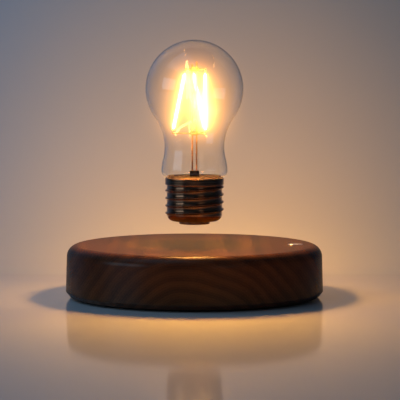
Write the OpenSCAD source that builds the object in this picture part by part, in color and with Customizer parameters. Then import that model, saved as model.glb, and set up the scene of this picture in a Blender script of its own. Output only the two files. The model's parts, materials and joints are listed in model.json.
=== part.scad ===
// Levitating bulb lamp: a round wooden base with a magnetic lift module inside, and a clear filament
// bulb that floats above its middle. Millimetres. Z is up, Z = 0 is the table under the feet, the lamp's
// axis is the Z axis, the power socket faces +Y and the touch pad lies on the +X side.

/* [Base] */
// Widest diameter of the wooden base
base_d = 158; // [157:0.5:162]
// Height of the flat top above the table
base_top = 32.5; // [32.5:0.5:38]
// Height of the wood's lower rim above the table
rim_z = 1.4; // [1:0.1:1.5]
// Width of the bevel round the lower rim
rim_bevel_w = 2.3; // [1:0.1:3]
// Height of the bevel round the lower rim
rim_bevel_h = 2.7; // [1:0.1:4]
// Radius of the rounded top edge
top_round = 7; // [4:0.5:8]
// How much the side leans in between the bevel and the rounded edge
side_draft = 0.6; // [0:0.1:1.2]
// Thickness of wood left over the electronics
wood_roof = 4; // [3:0.5:4]
// Thickness of the bottom cover
cover_t = 2; // [1.8:0.1:2.2]
// Distance of the four feet from the axis
foot_at = 57; // [50:1:58]
// Radius of each foot
foot_r = 7; // [5:0.5:8]

/* [Touch pad] */
// Distance of the touch pad from the axis
pad_at = 62; // [61.5:0.5:63]
// Radius of the touch pad
pad_r = 4.65; // [4:0.05:5.5]
// How far the touch pad stands above the wood
pad_proud = 0.15; // [0:0.05:0.5]

/* [Power socket] */
// Height of the socket's axis above the table
socket_z = 16; // [15.5:0.5:17]
// Radius of the hole that takes the plug's barrel
socket_bore_r = 2.9; // [2.8:0.05:3.2]
// Depth of that hole
socket_depth = 9.5; // [9:0.5:11]
// Radius of the centre pin
socket_pin_r = 1; // [0.8:0.05:1.25]
// Free length of the centre pin
socket_pin_l = 8.3; // [7:0.1:8.6]

/* [Bulb] */
// Air gap between the base and the bulb's contact at rest
float_gap = 12.7; // [8:0.1:16]
// Diameter of the globe
globe_d = 60; // [58:0.5:64]
// Height of the globe's centre above the bulb's contact
globe_h = 82.8; // [80:0.2:86]
// Radius of the waist
waist_r = 18.4; // [18:0.1:19]
// Height of the waist above the contact
waist_h = 47.2; // [46:0.1:48]
// Radius of the bulge under the waist
bulge_r = 20.3; // [20:0.1:20.6]
// Height of the bulge above the contact
bulge_h = 32.4; // [32.2:0.1:33]
// Radius that rolls the bulge in over the collar
shoulder_r = 4; // [3.6:0.1:4]
// Thickness of the glass
glass_t = 0.9; // [0.7:0.1:1]

/* [Screw cap] */
// Outside radius of the collar
collar_r = 18.1; // [18:0.1:18.5]
// Outside radius of the thread's crest
crest_r = 18; // [17.8:0.1:18.2]
// Outside radius between the thread's turns
root_r = 17; // [17:0.1:17.2]
// Rise of the thread in one turn
thread_pitch = 4.59; // [4.2:0.1:5]
// Radius that rounds the bottom of the cap
cap_round = 4.3; // [4.1:0.1:4.4]

/* [Filaments] */
// Distance of the filaments' lower ends from the axis
filament_foot_r = 13.4; // [11:0.1:14]
// Distance of the filaments' upper ends from the axis
filament_head_r = 7; // [6:0.1:9]
// Twist of each filament round the axis from foot to head
filament_twist = 39; // [0:1:60]
// Radius of a filament
filament_r = 1; // [0.7:0.1:1.2]

/* [Lift magnet] */
// Radius of the magnet inside the cap
magnet_r = 11; // [9:0.5:11]
// Clear space round the magnet
magnet_play = 0.3; // [0.3:0.05:0.4]

/* [Hidden] */
$fn = 96;
eps = 0.5;
fit_gap = 0.1;

// Base levels
base_r = base_d / 2;
cover_z = rim_z + 0.2;
cover_top = cover_z + cover_t;
roof_z = base_top - wood_roof;
standoff_h = 4.4;
board_t = 1.6;
pillar_h = 12.9;
plate_t = 1.2;
board_z = cover_top + standoff_h;
board_top = board_z + board_t;
plate_z = board_top + pillar_h;
plate_top = plate_z + plate_t;

// Base plan
pocket_r = 70;
rebate_r = 72.2;
cover_r = 71.9;
lobe_at = 68;
lobe_r = 5.5;
board_r = 62;
plate_r = 60;
pillar_at = 56;
pillar_r = 3;
edge_part_at = 56;
quarter_start = 45;
insert_r = 2.3;
insert_l = 5.5;
screw_r = 1.45;
screw_hole_r = 1.6;
head_r = 3;

// Lift module
coil_at = 17;
bobbin_r = 10.5;
bobbin_hub_r = 4.8;
bobbin_hole_r = 4;
flange_t = 0.9;
bobbin_h = 12;
ring_in = 34;
ring_out = 50;
ring_h = 8.4;
frame_wall = 1.4;
frame_floor = 1;
ring_play = 0.2;
core_proud = 0.5;
sender_in = 20;
sender_step = 3;
sender_turns = 8;
sender_base_t = 1.2;
sender_ridge_h = 0.8;
sender_groove = 0.6;
sender_end = -44.1;
lead_foot = -58.5;
lead_bend = [-60, 2.8, 10.4];
plate_notch = [12, 9, 3];
sensor_post_r = 2.5;
sensor_post_h = 8.4;
sensor_board_size = [12, 12, 1];
sensor_size = [2.4, 3, 1.1];
sensor_step = 4;
controller_size = [8, 8, 1.2];
controller_at = 27.5;
driver_size = [5, 6, 1.6];
driver_at = 29.5;
can_r = 3.4;
can_h = 8.6;
can_rim = 0.4;
inductor_turn = -24;
inductor_flange = 1;
inductor_waist = 1;
inductor_h = 5;

// Power socket, measured along Y from the axis
socket_face = base_r - side_draft - 0.2;
socket_seat = socket_face - 2;
socket_flat = 72;
socket_back = socket_face - 16.2;
socket_body_r = 5.5;
socket_flange_r = 7.2;
socket_nut_r = 8.08;
socket_nut_t = 2.4;
socket_floor = socket_face - socket_depth;
socket_nut_room = [20, 10, 18];
pin_tip_r = 0.35;
pin_head = 0.3;
pin_hole_r = socket_pin_r + 0.4;
lug_at = 3.4;
lug_slot = [1.1, 6, 3.2];
lug = [0.8, 6.6, 2.6];
lug_in = 0.5;

// Touch pad
pad_t = 1.5;
pad_edge = 0.25;
pad_stem_r = 1.5;
touch_board_t = 1.2;
touch_board_size = [13, 11, touch_board_t];
touch_wire_at = 58.6;
touch_wire_foot = 57.6;
touch_wire_bend = 6;
wire_spread = 1.6;

// Bulb levels
tip_z = base_top + float_gap;
cap_z = tip_z + 1.8;
globe_z = tip_z + globe_h;
globe_r = globe_d / 2;
waist_z = tip_z + waist_h;
bulge_z = tip_z + bulge_h;
collar_top = tip_z + 28.3;
collar_z = tip_z + 24.2;
neck_r = 16;
neck_z = tip_z + 18.8;

// Glass: the waist arc touches the globe, and the bulge arc touches the waist arc
waist_drop = globe_z - waist_z;
waist_arc = (waist_r * waist_r + waist_drop * waist_drop - globe_r * globe_r)
    / (2 * (globe_r - waist_r));
waist_at = [waist_r + waist_arc, waist_z];
bulge_drop = waist_z - bulge_z;
bulge_reach = waist_at.x - bulge_r;
bulge_arc = (bulge_reach * bulge_reach + bulge_drop * bulge_drop - waist_arc * waist_arc)
    / (2 * (waist_arc - bulge_reach));
bulge_at = [bulge_r - bulge_arc, bulge_z];
shoulder_at = [bulge_r - shoulder_r, bulge_z];
globe_at = [0, globe_z];
arc_lap = 0.001;
corner_in = 0.02;

// Cap
cap_wall = 0.8;
cap_inner_r = root_r - cap_wall;
collar_inner_r = collar_r - cap_wall;
cap_arc_at = [root_r - cap_round, cap_z + cap_round];
insulator_t = 2;
button_r = 9.6;
button_edge = 0.9;
button_stem_r = 2.5;
thread_steps = 60;
thread_low = tip_z + 4.4;
thread_high = collar_z - 0.3;
thread_zero = tip_z + 11.3 + thread_pitch / 2;
thread_fade = 50;

// Inside the cap
carrier_z = cap_z + insulator_t + 0.4;
carrier_floor = 0.8;
carrier_wall = 0.8;
magnet_z = carrier_z + carrier_floor + magnet_play;
magnet_h = 7.7;
bulb_board_z = tip_z + 14.8;
bulb_board_t = 1.2;
bulb_board_top = bulb_board_z + bulb_board_t;
stem_plate_t = 1.2;
stem_plate_z = collar_top - stem_plate_t;

// Filament frame
rod_x = 1.3;
rod_r = 0.5;
bead_r = 2.6;
bead_h = 2.6;
arm_r = 0.35;
hub_r = 3.3;
low_arm_z = tip_z + 55.8;
high_arm_z = tip_z + 94.8;
first_foot = 180;
tab_share = 0.08;
socket_block = [5.9, 4.2, 4.4];

// Wires
wire_r = 0.6;
wire_sides = 10;
wire_steps = 14;

// Colours
walnut = [0.30, 0.17, 0.09];
bright_metal = [0.86, 0.85, 0.82];
steel = [0.62, 0.62, 0.64];
nickel = [0.76, 0.74, 0.70];
iron = [0.33, 0.33, 0.35];
brass = [0.80, 0.62, 0.28];
copper = [0.78, 0.42, 0.22];
black_plastic = [0.07, 0.07, 0.08];
grey_plastic = [0.45, 0.46, 0.48];
white_plastic = [0.86, 0.86, 0.84];
green_board = [0.07, 0.30, 0.16];
chip_black = [0.05, 0.05, 0.06];
rubber_black = [0.05, 0.05, 0.05];
lead_red_c = [0.70, 0.06, 0.05];
black_nickel = [0.10, 0.09, 0.09];
cement = [0.55, 0.50, 0.43];
clear_glass = [0.92, 0.95, 0.96, 0.35];
filament_glow = [1.0, 0.76, 0.38];
can_silver = [0.70, 0.71, 0.73];

// ---- Helpers ----

module disc(r, low, high) {
    translate([0, 0, low])
        cylinder(h = high - low, r = r);
}

module ring(outer, inner, low, high) {
    difference() {
        disc(outer, low, high);
        disc(inner, low - eps, high + eps);
    }
}

module around(count, radius, start) {
    for (i = [0:count - 1])
        rotate([0, 0, start + i * 360 / count])
            translate([radius, 0, 0])
                children();
}

module along_y(x, z, r, near, far) {
    translate([x, near, z])
        rotate([-90, 0, 0])
            cylinder(h = far - near, r = r);
}

module block(size, at) {
    translate([at.x - size.x / 2, at.y - size.y / 2, at.z])
        cube(size);
}

module rod_between(start, end, r) {
    run = end - start;
    reach = norm(run);
    translate(start)
        rotate([0, acos(run.z / reach), atan2(run.y, run.x)])
            cylinder(h = reach, r = r);
}

function unit(v) = v / norm(v);

function curve(p, count) = [
    for (i = [0:count])
        let (t = i / count, s = 1 - t)
            s * s * s * p[0] + 3 * s * s * t * p[1] + 3 * s * t * t * p[2] + t * t * t * p[3]
];

function skin_faces(rows, sides) = concat(
    [[for (k = [0:sides - 1]) k]],
    [[for (k = [sides - 1:-1:0]) (rows - 1) * sides + k]],
    [
        for (i = [0:rows - 2], k = [0:sides - 1])
            let (a = i * sides + k, b = i * sides + (k + 1) % sides)
                [a, a + sides, b]
    ],
    [
        for (i = [0:rows - 2], k = [0:sides - 1])
            let (a = i * sides + k, b = i * sides + (k + 1) % sides)
                [b, a + sides, b + sides]
    ]
);

// A round wire along a curve that stays in the plane across `side`
module wire(p, r, side) {
    path = curve(p, wire_steps);
    last = len(path) - 1;
    points = [
        for (i = [0:last])
            let (
                ahead = unit(path[min(i + 1, last)] - path[max(i - 1, 0)]),
                up = cross(ahead, side)
            )
                for (k = [0:wire_sides - 1])
                    path[i] + r * (cos(k * 360 / wire_sides) * side + sin(k * 360 / wire_sides) * up)
    ];
    polyhedron(points = points, faces = skin_faces(last + 1, wire_sides));
}

// ---- Base: wood, cover and fixings ----

module wood_profile() {
    side_top = base_r - side_draft;
    union() {
        polygon([
            [0, rim_z],
            [base_r - rim_bevel_w, rim_z],
            [base_r, rim_z + rim_bevel_h],
            [side_top, base_top - top_round],
            [side_top - top_round, base_top - top_round],
            [side_top - top_round, base_top],
            [0, base_top]
        ]);
        intersection() {
            translate([side_top - top_round, base_top - top_round])
                circle(r = top_round);
            translate([side_top - top_round, base_top - top_round])
                square(top_round + eps);
        }
    }
}

module socket_recess() {
    along_y(0, socket_z, socket_flange_r + fit_gap, socket_seat, base_r + eps);
    along_y(0, socket_z, socket_body_r + fit_gap, pocket_r - 6, socket_seat + eps);
    block(socket_nut_room, [0, socket_flat - socket_nut_room.y / 2, socket_z - socket_nut_room.z / 2]);
}

module wood_housing() {
    color(walnut)
        difference() {
            rotate_extrude()
                wood_profile();
            difference() {
                disc(pocket_r, rim_z - eps, roof_z);
                around(4, lobe_at, quarter_start)
                    disc(lobe_r, rim_z - 2 * eps, roof_z + eps);
            }
            disc(rebate_r, rim_z - eps, cover_top);
            around(4, lobe_at, quarter_start)
                disc(insert_r, cover_top - eps, cover_top + insert_l + 1);
            translate([pad_at, 0, 0]) {
                disc(pad_r + fit_gap, base_top - pad_t, base_top + eps);
                disc(pad_stem_r + fit_gap, roof_z - eps, base_top);
            }
            socket_recess();
        }
}

module touch_pad() {
    top = base_top + pad_proud;
    color(bright_metal)
        translate([pad_at, 0, 0]) {
            disc(pad_r, base_top - pad_t, top - pad_edge);
            translate([0, 0, top - pad_edge])
                cylinder(h = pad_edge, r1 = pad_r, r2 = pad_r - pad_edge);
            disc(pad_stem_r, roof_z - touch_board_t, base_top - pad_t);
        }
}

module touch_board() {
    color(green_board)
        difference() {
            block(touch_board_size, [pad_at, 0, roof_z - touch_board_t]);
            translate([pad_at, 0, 0])
                disc(pad_stem_r + fit_gap, roof_z - touch_board_t - eps, roof_z + eps);
        }
}

module touch_wires() {
    top = roof_z - touch_board_t;
    color(grey_plastic)
        for (y = [-wire_spread, 0, wire_spread])
            wire(
                [
                    [touch_wire_at, y, top], [touch_wire_at, y, top - touch_wire_bend],
                    [touch_wire_foot, y, board_top + touch_wire_bend], [touch_wire_foot, y, board_top]
                ],
                wire_r, [0, 1, 0]
            );
}

module bottom_cover() {
    color(black_plastic)
        difference() {
            disc(cover_r, cover_z, cover_top);
            around(4, lobe_at, quarter_start) {
                disc(screw_hole_r, cover_z - eps, cover_top + eps);
                translate([0, 0, cover_z])
                    cylinder(h = head_r - screw_r, r1 = head_r + fit_gap, r2 = screw_r + fit_gap);
            }
        }
}

module cover_screws() {
    slot = [4, 0.8, 0.7];
    color(steel)
        around(4, lobe_at, quarter_start)
            difference() {
                union() {
                    translate([0, 0, cover_z])
                        cylinder(h = head_r - screw_r, r1 = head_r, r2 = screw_r);
                    disc(screw_r, cover_z, cover_top + insert_l);
                }
                block(slot, [0, 0, cover_z - 0.1]);
                rotate([0, 0, 90])
                    block(slot, [0, 0, cover_z - 0.1]);
            }
}

module threaded_inserts() {
    color(brass)
        around(4, lobe_at, quarter_start)
            ring(insert_r - 0.02, screw_r + 0.02, cover_top, cover_top + insert_l);
}

module rubber_feet() {
    edge = 0.4;
    color(rubber_black)
        around(4, foot_at, 0) {
            cylinder(h = edge, r1 = foot_r - edge, r2 = foot_r);
            disc(foot_r, edge, cover_z);
        }
}

module lower_standoffs() {
    color(brass)
        around(4, pillar_at, quarter_start)
            difference() {
                translate([0, 0, cover_top])
                    cylinder(h = board_z - cover_top, r = pillar_r, $fn = 6);
                disc(screw_hole_r, cover_top + 1, board_z + eps);
            }
}

module upper_pillars() {
    color(white_plastic)
        around(4, pillar_at, quarter_start)
            difference() {
                union() {
                    translate([0, 0, board_top])
                        cylinder(h = plate_z - board_top, r = pillar_r, $fn = 6);
                    disc(screw_r, cover_top + 1.4, board_top);
                }
                disc(screw_hole_r, plate_z - 6, plate_z + eps);
            }
}

module plate_screws() {
    color(steel)
        around(4, pillar_at, quarter_start)
            difference() {
                union() {
                    disc(head_r - 0.2, plate_top, plate_top + 1.5);
                    disc(screw_r, plate_z - 5, plate_top);
                }
                block([4, 0.8, 1], [0, 0, plate_top + 0.8]);
            }
}

// ---- Base: boards and lift module ----

module control_board() {
    color(green_board)
        difference() {
            disc(board_r, board_z, board_top);
            around(4, pillar_at, quarter_start)
                disc(screw_hole_r, board_z - eps, board_top + eps);
        }
}

module magnet_frame() {
    low = board_top + frame_floor;
    top = low + ring_h + 0.6;
    outer = ring_out + ring_play;
    inner = ring_in - ring_play;
    color(grey_plastic) {
        ring(outer + frame_wall, inner - frame_wall, board_top, low);
        ring(outer + frame_wall, outer, low, top);
        ring(inner, inner - frame_wall, low, top);
    }
}

module ring_magnet() {
    color(iron)
        ring(ring_out, ring_in, board_top + frame_floor, board_top + frame_floor + ring_h);
}

module coil_plate() {
    color(white_plastic)
        difference() {
            disc(plate_r, plate_z, plate_top);
            around(4, pillar_at, quarter_start)
                disc(screw_hole_r, plate_z - eps, plate_top + eps);
            around(2, plate_r, 0)
                block(plate_notch, [0, 0, plate_z - 1]);
        }
}

module transmitter_coil() {
    low = plate_top + sender_base_t;
    color(copper) {
        ring(sender_in + sender_turns * sender_step, sender_in, plate_top, low);
        for (i = [0:sender_turns - 1])
            ring(
                sender_in + (i + 1) * sender_step - sender_groove, sender_in + i * sender_step + sender_groove,
                low, low + sender_ridge_h
            );
    }
}

module transmitter_leads() {
    level = plate_top + wire_r + 0.05;
    color(lead_red_c)
        for (y = [-wire_spread, wire_spread])
            wire(
                [
                    [sender_end, y, level], [lead_bend.x, y, level + lead_bend.y],
                    [lead_foot, y, board_top + lead_bend.z], [lead_foot, y, board_top]
                ],
                wire_r, [0, 1, 0]
            );
}

module coil_bobbins() {
    color(black_plastic)
        around(4, coil_at, 0) {
            ring(bobbin_r, bobbin_hole_r, board_top, board_top + flange_t);
            ring(bobbin_hub_r, bobbin_hole_r, board_top + flange_t, board_top + bobbin_h - flange_t);
            ring(bobbin_r, bobbin_hole_r, board_top + bobbin_h - flange_t, board_top + bobbin_h);
        }
}

module coil_cores() {
    color(iron)
        around(4, coil_at, 0)
            disc(bobbin_hole_r - fit_gap, board_top, board_top + bobbin_h + core_proud);
}

module winding(turn) {
    color(copper)
        rotate([0, 0, turn])
            translate([coil_at, 0, 0])
                ring(
                    bobbin_r - 0.6, bobbin_hub_r + fit_gap,
                    board_top + flange_t + fit_gap, board_top + bobbin_h - flange_t - fit_gap
                );
}

module winding_right() {
    winding(0);
}

module winding_rear() {
    winding(90);
}

module winding_left() {
    winding(180);
}

module winding_front() {
    winding(270);
}

module sensor_post() {
    color(white_plastic)
        disc(sensor_post_r, board_top, board_top + sensor_post_h);
}

module sensor_board() {
    color(green_board)
        block(sensor_board_size, [0, 0, board_top + sensor_post_h]);
}

module hall_sensors() {
    color(chip_black)
        for (x = [-sensor_step, 0, sensor_step])
            block(sensor_size, [x, 0, board_top + sensor_post_h + sensor_board_size.z]);
}

module microcontroller() {
    color(chip_black)
        rotate([0, 0, -quarter_start])
            block(controller_size, [controller_at, 0, board_top]);
}

module driver_chips() {
    color(chip_black)
        for (turn = [quarter_start, 3 * quarter_start, 5 * quarter_start])
            rotate([0, 0, turn])
                block(driver_size, [driver_at, 0, board_top]);
}

module capacitors() {
    color(can_silver)
        for (turn = [14, 22, -14])
            rotate([0, 0, turn])
                translate([edge_part_at, 0, 0]) {
                    disc(can_r, board_top, board_top + can_h);
                    disc(can_r - can_rim, board_top + can_h, board_top + can_h + can_rim);
                }
}

module inductor() {
    color(iron)
        rotate([0, 0, inductor_turn])
            translate([edge_part_at, 0, board_top]) {
                disc(can_r, 0, inductor_flange);
                disc(can_r - inductor_waist, inductor_flange, inductor_h - inductor_flange);
                disc(can_r, inductor_h - inductor_flange, inductor_h);
            }
}

// ---- Base: power socket ----

module power_socket() {
    edge = 0.4;
    color(black_plastic)
        difference() {
            union() {
                along_y(0, socket_z, socket_flange_r, socket_seat, socket_face - edge);
                translate([0, socket_face - edge, socket_z])
                    rotate([-90, 0, 0])
                        cylinder(h = edge, r1 = socket_flange_r, r2 = socket_flange_r - edge);
                along_y(0, socket_z, socket_body_r, socket_back, socket_seat);
            }
            along_y(0, socket_z, socket_bore_r, socket_floor, socket_face + eps);
            along_y(0, socket_z, pin_hole_r, socket_back - eps, socket_floor + eps);
            for (x = [-lug_at, lug_at])
                block(lug_slot, [x, socket_back + 2, socket_z - lug_slot.z / 2]);
        }
}

module socket_pin() {
    free_end = socket_floor + socket_pin_l;
    color(nickel) {
        along_y(0, socket_z, socket_pin_r, socket_floor, free_end);
        translate([0, free_end, socket_z])
            rotate([-90, 0, 0])
                cylinder(h = pin_tip_r, r1 = socket_pin_r, r2 = socket_pin_r - pin_tip_r);
        along_y(0, socket_z, socket_pin_r + pin_head, socket_back, socket_floor);
    }
}

module socket_nut() {
    color(nickel)
        difference() {
            translate([0, socket_flat - socket_nut_t, socket_z])
                rotate([-90, 0, 0])
                    cylinder(h = socket_nut_t, r = socket_nut_r, $fn = 6);
            along_y(0, socket_z, socket_body_r + 0.02, socket_flat - socket_nut_t - eps, socket_flat + eps);
        }
}

module socket_lugs() {
    color(brass)
        for (x = [-lug_at, lug_at])
            block(lug, [x, socket_back + lug_in, socket_z - lug.z / 2]);
}

module socket_lead(x, lead_color) {
    lug_end = socket_back + lug_in - lug.y / 2;
    color(lead_color)
        wire(
            [
                [x, lug_end, socket_z], [x, lug_end - 4, socket_z],
                [x, lug_end - 3, board_top + 5], [x, lug_end - 3, board_top]
            ],
            wire_r, [1, 0, 0]
        );
}

module lead_red() {
    socket_lead(-lug_at, lead_red_c);
}

module lead_black() {
    socket_lead(lug_at, rubber_black);
}

// ---- Bulb: lift magnet and receiver ----

module levitation_magnet() {
    edge = 0.5;
    color(nickel)
        translate([0, 0, magnet_z]) {
            cylinder(h = edge, r1 = magnet_r - edge, r2 = magnet_r);
            disc(magnet_r, edge, magnet_h - edge);
            translate([0, 0, magnet_h - edge])
                cylinder(h = edge, r1 = magnet_r, r2 = magnet_r - edge);
        }
}

module magnet_carrier() {
    inner = magnet_r + magnet_play;
    color(black_plastic) {
        disc(inner + carrier_wall + 1.9, carrier_z, carrier_z + carrier_floor);
        ring(inner + carrier_wall, inner, carrier_z + carrier_floor, bulb_board_z);
    }
}

module receiver_coil() {
    inner = magnet_r + magnet_play + carrier_wall + fit_gap;
    color(copper)
        ring(inner + 2.7, inner, carrier_z + carrier_floor, carrier_z + carrier_floor + 4);
}

module receiver_board() {
    color(green_board)
        difference() {
            disc(cap_inner_r - 0.5, bulb_board_z, bulb_board_top);
            for (x = [-rod_x, rod_x])
                translate([x, 0, 0])
                    disc(rod_r + fit_gap, bulb_board_z - eps, bulb_board_top + eps);
        }
}

module smoothing_capacitor() {
    color(can_silver)
        translate([8, 0, 0]) {
            disc(4, bulb_board_top, bulb_board_top + 8.6);
            disc(3.5, bulb_board_top + 8.6, bulb_board_top + 9);
        }
}

module rectifier_chip() {
    color(chip_black)
        block([5, 6.4, 2], [-8, 0, bulb_board_top]);
}

// ---- Bulb: glass ----

function toward(from, to, reach) = from + reach * unit(to - from);

// Half of the glass's outline, moved inward by `inset` and run down to `low`. The arcs overlap by
// `arc_lap` where they touch, and the corners between them lie `corner_in` inside the round parts.
module glass_outline(inset, low) {
    globe_corner = toward(globe_at, waist_at, globe_r - inset - corner_in);
    bulge_corner = toward(bulge_at, waist_at, bulge_arc - inset - corner_in);
    intersection() {
        translate(globe_at)
            circle(r = globe_r - inset);
        translate([0, globe_z - globe_r])
            square(2 * globe_r);
    }
    difference() {
        polygon([[0, bulge_z + 1], bulge_corner, globe_corner, globe_at]);
        translate(waist_at)
            circle(r = waist_arc + inset + arc_lap);
    }
    intersection() {
        translate(bulge_at)
            circle(r = bulge_arc - inset);
        translate([0, bulge_z])
            square([bulge_r + eps, waist_z - bulge_z]);
    }
    translate([0, bulge_z - shoulder_r + inset])
        square([shoulder_at.x, shoulder_r - inset]);
    intersection() {
        translate(shoulder_at)
            circle(r = shoulder_r - inset);
        translate([shoulder_at.x, bulge_z - shoulder_r])
            square(shoulder_r);
    }
    translate([0, low])
        square([neck_r - inset, bulge_z - low]);
}

module glass_globe() {
    color(clear_glass)
        rotate_extrude()
            difference() {
                glass_outline(0, neck_z);
                glass_outline(glass_t, neck_z - eps);
            }
}

// ---- Bulb: screw cap ----

// Half of the cap's wall without its thread
module shell_profile() {
    difference() {
        union() {
            translate([0, collar_z])
                square([collar_r, collar_top - collar_z]);
            translate([0, cap_arc_at.y])
                square([root_r, collar_z - cap_arc_at.y]);
            intersection() {
                translate(cap_arc_at)
                    circle(r = cap_round);
                translate([0, cap_z])
                    square([root_r, cap_round]);
            }
            translate([0, cap_z])
                square([cap_arc_at.x, cap_round]);
        }
        translate([0, collar_z + cap_wall])
            square([collar_inner_r, collar_top]);
        translate([0, cap_arc_at.y])
            square([cap_inner_r, collar_top - cap_arc_at.y]);
        intersection() {
            translate(cap_arc_at)
                circle(r = cap_round - cap_wall);
            translate([0, cap_z])
                square([root_r, cap_round]);
        }
        translate([0, cap_z - eps])
            square([cap_arc_at.x, cap_round + eps]);
    }
}

// Radius of the cap's wall at a height, where the thread sits
function wall_r(z) = z >= cap_arc_at.y ? root_r
    : cap_arc_at.x + sqrt(max(0, cap_round * cap_round - (cap_arc_at.y - z) * (cap_arc_at.y - z)));

// One ridge's outline as [outward, upward], for a full-height ridge
ridge = [[-0.4, 1.2], [0, 1.05], [0.85, 0.35], [1, 0], [0.85, -0.35], [0, -1.05], [-0.4, -1.2]];
ridge_h = crest_r - root_r;

module thread_ridge() {
    start = (thread_low - thread_zero) / thread_pitch * 360;
    turn = (thread_high - thread_low) / thread_pitch * 360;
    count = ceil(turn / 360 * thread_steps);
    sides = len(ridge);
    points = [
        for (i = [0:count])
            let (
                swept = turn * i / count,
                grow = max(0.15, min(1, swept / thread_fade, (turn - swept) / thread_fade)),
                z = thread_low + (thread_high - thread_low) * i / count,
                a = start + swept
            )
                for (p = ridge)
                    let (
                        zz = z + p.y * (0.5 + 0.5 * grow),
                        rr = min(wall_r(z), wall_r(zz)) + (p.x > 0 ? p.x * ridge_h * grow : p.x)
                    )
                        [rr * cos(a), rr * sin(a), zz]
    ];
    polyhedron(points = points, faces = skin_faces(count + 1, sides));
}

module screw_shell() {
    color(black_nickel)
        rotate_extrude()
            shell_profile();
}

module shell_thread() {
    color(black_nickel)
        thread_ridge();
}

module shell_insulator() {
    rim_r = cap_arc_at.x - 0.02;
    color(black_plastic)
        difference() {
            disc(rim_r, cap_z, cap_z + insulator_t);
            disc(button_stem_r + fit_gap, cap_z - eps, cap_z + insulator_t + eps);
        }
}

module contact_button() {
    color(black_nickel) {
        disc(button_r, tip_z + button_edge, cap_z);
        rotate_extrude() {
            intersection() {
                translate([button_r - button_edge, tip_z + button_edge])
                    circle(r = button_edge);
                translate([0, tip_z])
                    square([button_r, button_edge]);
            }
            translate([0, tip_z])
                square([button_r - button_edge, button_edge]);
        }
        disc(button_stem_r, cap_z, cap_z + insulator_t);
    }
}

module cement_ring() {
    color(cement)
        ring(collar_inner_r - fit_gap, neck_r + fit_gap, collar_z + cap_wall, collar_top - 0.3);
}

// ---- Bulb: filament frame ----

module rod_holes(low, high) {
    for (x = [-rod_x, rod_x])
        translate([x, 0, 0])
            disc(rod_r + 0.05, low, high);
}

module stem_plate() {
    color(black_plastic)
        difference() {
            disc(neck_r - glass_t - 0.2, stem_plate_z, collar_top);
            rod_holes(stem_plate_z - eps, collar_top + eps);
        }
}

module stem_socket() {
    color(black_plastic)
        difference() {
            block(socket_block, [0, 0, collar_top]);
            rod_holes(collar_top - eps, collar_top + socket_block.z + eps);
        }
}

module left_rod() {
    color(copper)
        translate([-rod_x, 0, 0])
            disc(rod_r, bulb_board_z, high_arm_z + 3);
}

module right_rod() {
    color(copper)
        translate([rod_x, 0, 0])
            disc(rod_r, bulb_board_z, high_arm_z + 4.6);
}

module bead(z) {
    color(clear_glass)
        difference() {
            intersection() {
                translate([0, 0, z])
                    sphere(r = bead_r);
                disc(bead_r + eps, z - bead_h / 2, z + bead_h / 2);
            }
            rod_holes(z - bead_h, z + bead_h);
        }
}

module lower_bead() {
    bead(low_arm_z);
}

module upper_bead() {
    bead(high_arm_z);
}

module spider(z, reach, start) {
    color(copper) {
        ring(hub_r, bead_r + 0.05, z - 0.5, z + 0.5);
        for (i = [0:2])
            rotate([0, 0, start + i * 120])
                rod_between([hub_r - 0.1, 0, z], [reach + arm_r, 0, z], arm_r);
    }
}

module lower_spider() {
    spider(low_arm_z, filament_foot_r, first_foot);
}

module upper_spider() {
    spider(high_arm_z, filament_head_r, first_foot + filament_twist);
}

function foot_at_turn(turn) = [
    filament_foot_r * cos(turn), filament_foot_r * sin(turn), low_arm_z + arm_r + 0.02
];

function head_at_turn(turn) = [
    filament_head_r * cos(turn + filament_twist), filament_head_r * sin(turn + filament_twist),
    high_arm_z - arm_r - 0.02
];

module filament(turn) {
    foot = foot_at_turn(turn);
    head = head_at_turn(turn);
    run = head - foot;
    reach = norm(run);
    inner = reach * (1 - 2 * tab_share);
    color(filament_glow)
        translate(foot + tab_share * run)
            rotate([0, acos(run.z / reach), atan2(run.y, run.x)])
                rotate_extrude()
                    intersection() {
                        union() {
                            square([filament_r, inner]);
                            for (end = [0, inner])
                                translate([0, end])
                                    circle(r = filament_r);
                        }
                        translate([0, -filament_r])
                            square([filament_r, inner + 2 * filament_r]);
                    }
}

module filament_left() {
    filament(first_foot);
}

module filament_right() {
    filament(first_foot + 120);
}

module filament_rear() {
    filament(first_foot + 240);
}

module filament_tabs() {
    tab_r = 0.3;
    color(nickel)
        for (turn = [first_foot, first_foot + 120, first_foot + 240]) {
            foot = foot_at_turn(turn);
            head = head_at_turn(turn);
            way = unit(head - foot);
            low = foot + tab_share * (head - foot) - filament_r * way;
            high = head - tab_share * (head - foot) + filament_r * way;
            rod_between(foot, low, tab_r);
            rod_between(high, head, tab_r);
        }
}

// ---- Pieces ----

wood_housing();
touch_pad();
touch_board();
touch_wires();
bottom_cover();
cover_screws();
threaded_inserts();
rubber_feet();
lower_standoffs();
upper_pillars();
plate_screws();
control_board();
magnet_frame();
ring_magnet();
coil_plate();
transmitter_coil();
transmitter_leads();
coil_bobbins();
coil_cores();
winding_right();
winding_rear();
winding_left();
winding_front();
sensor_post();
sensor_board();
hall_sensors();
microcontroller();
driver_chips();
capacitors();
inductor();
power_socket();
socket_pin();
socket_nut();
socket_lugs();
lead_red();
lead_black();
levitation_magnet();
glass_globe();
screw_shell();
shell_thread();
shell_insulator();
contact_button();
cement_ring();
stem_plate();
stem_socket();
left_rod();
right_rod();
lower_bead();
lower_spider();
upper_bead();
upper_spider();
filament_left();
filament_right();
filament_rear();
filament_tabs();
magnet_carrier();
receiver_coil();
receiver_board();
smoothing_capacitor();
rectifier_chip();
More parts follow.
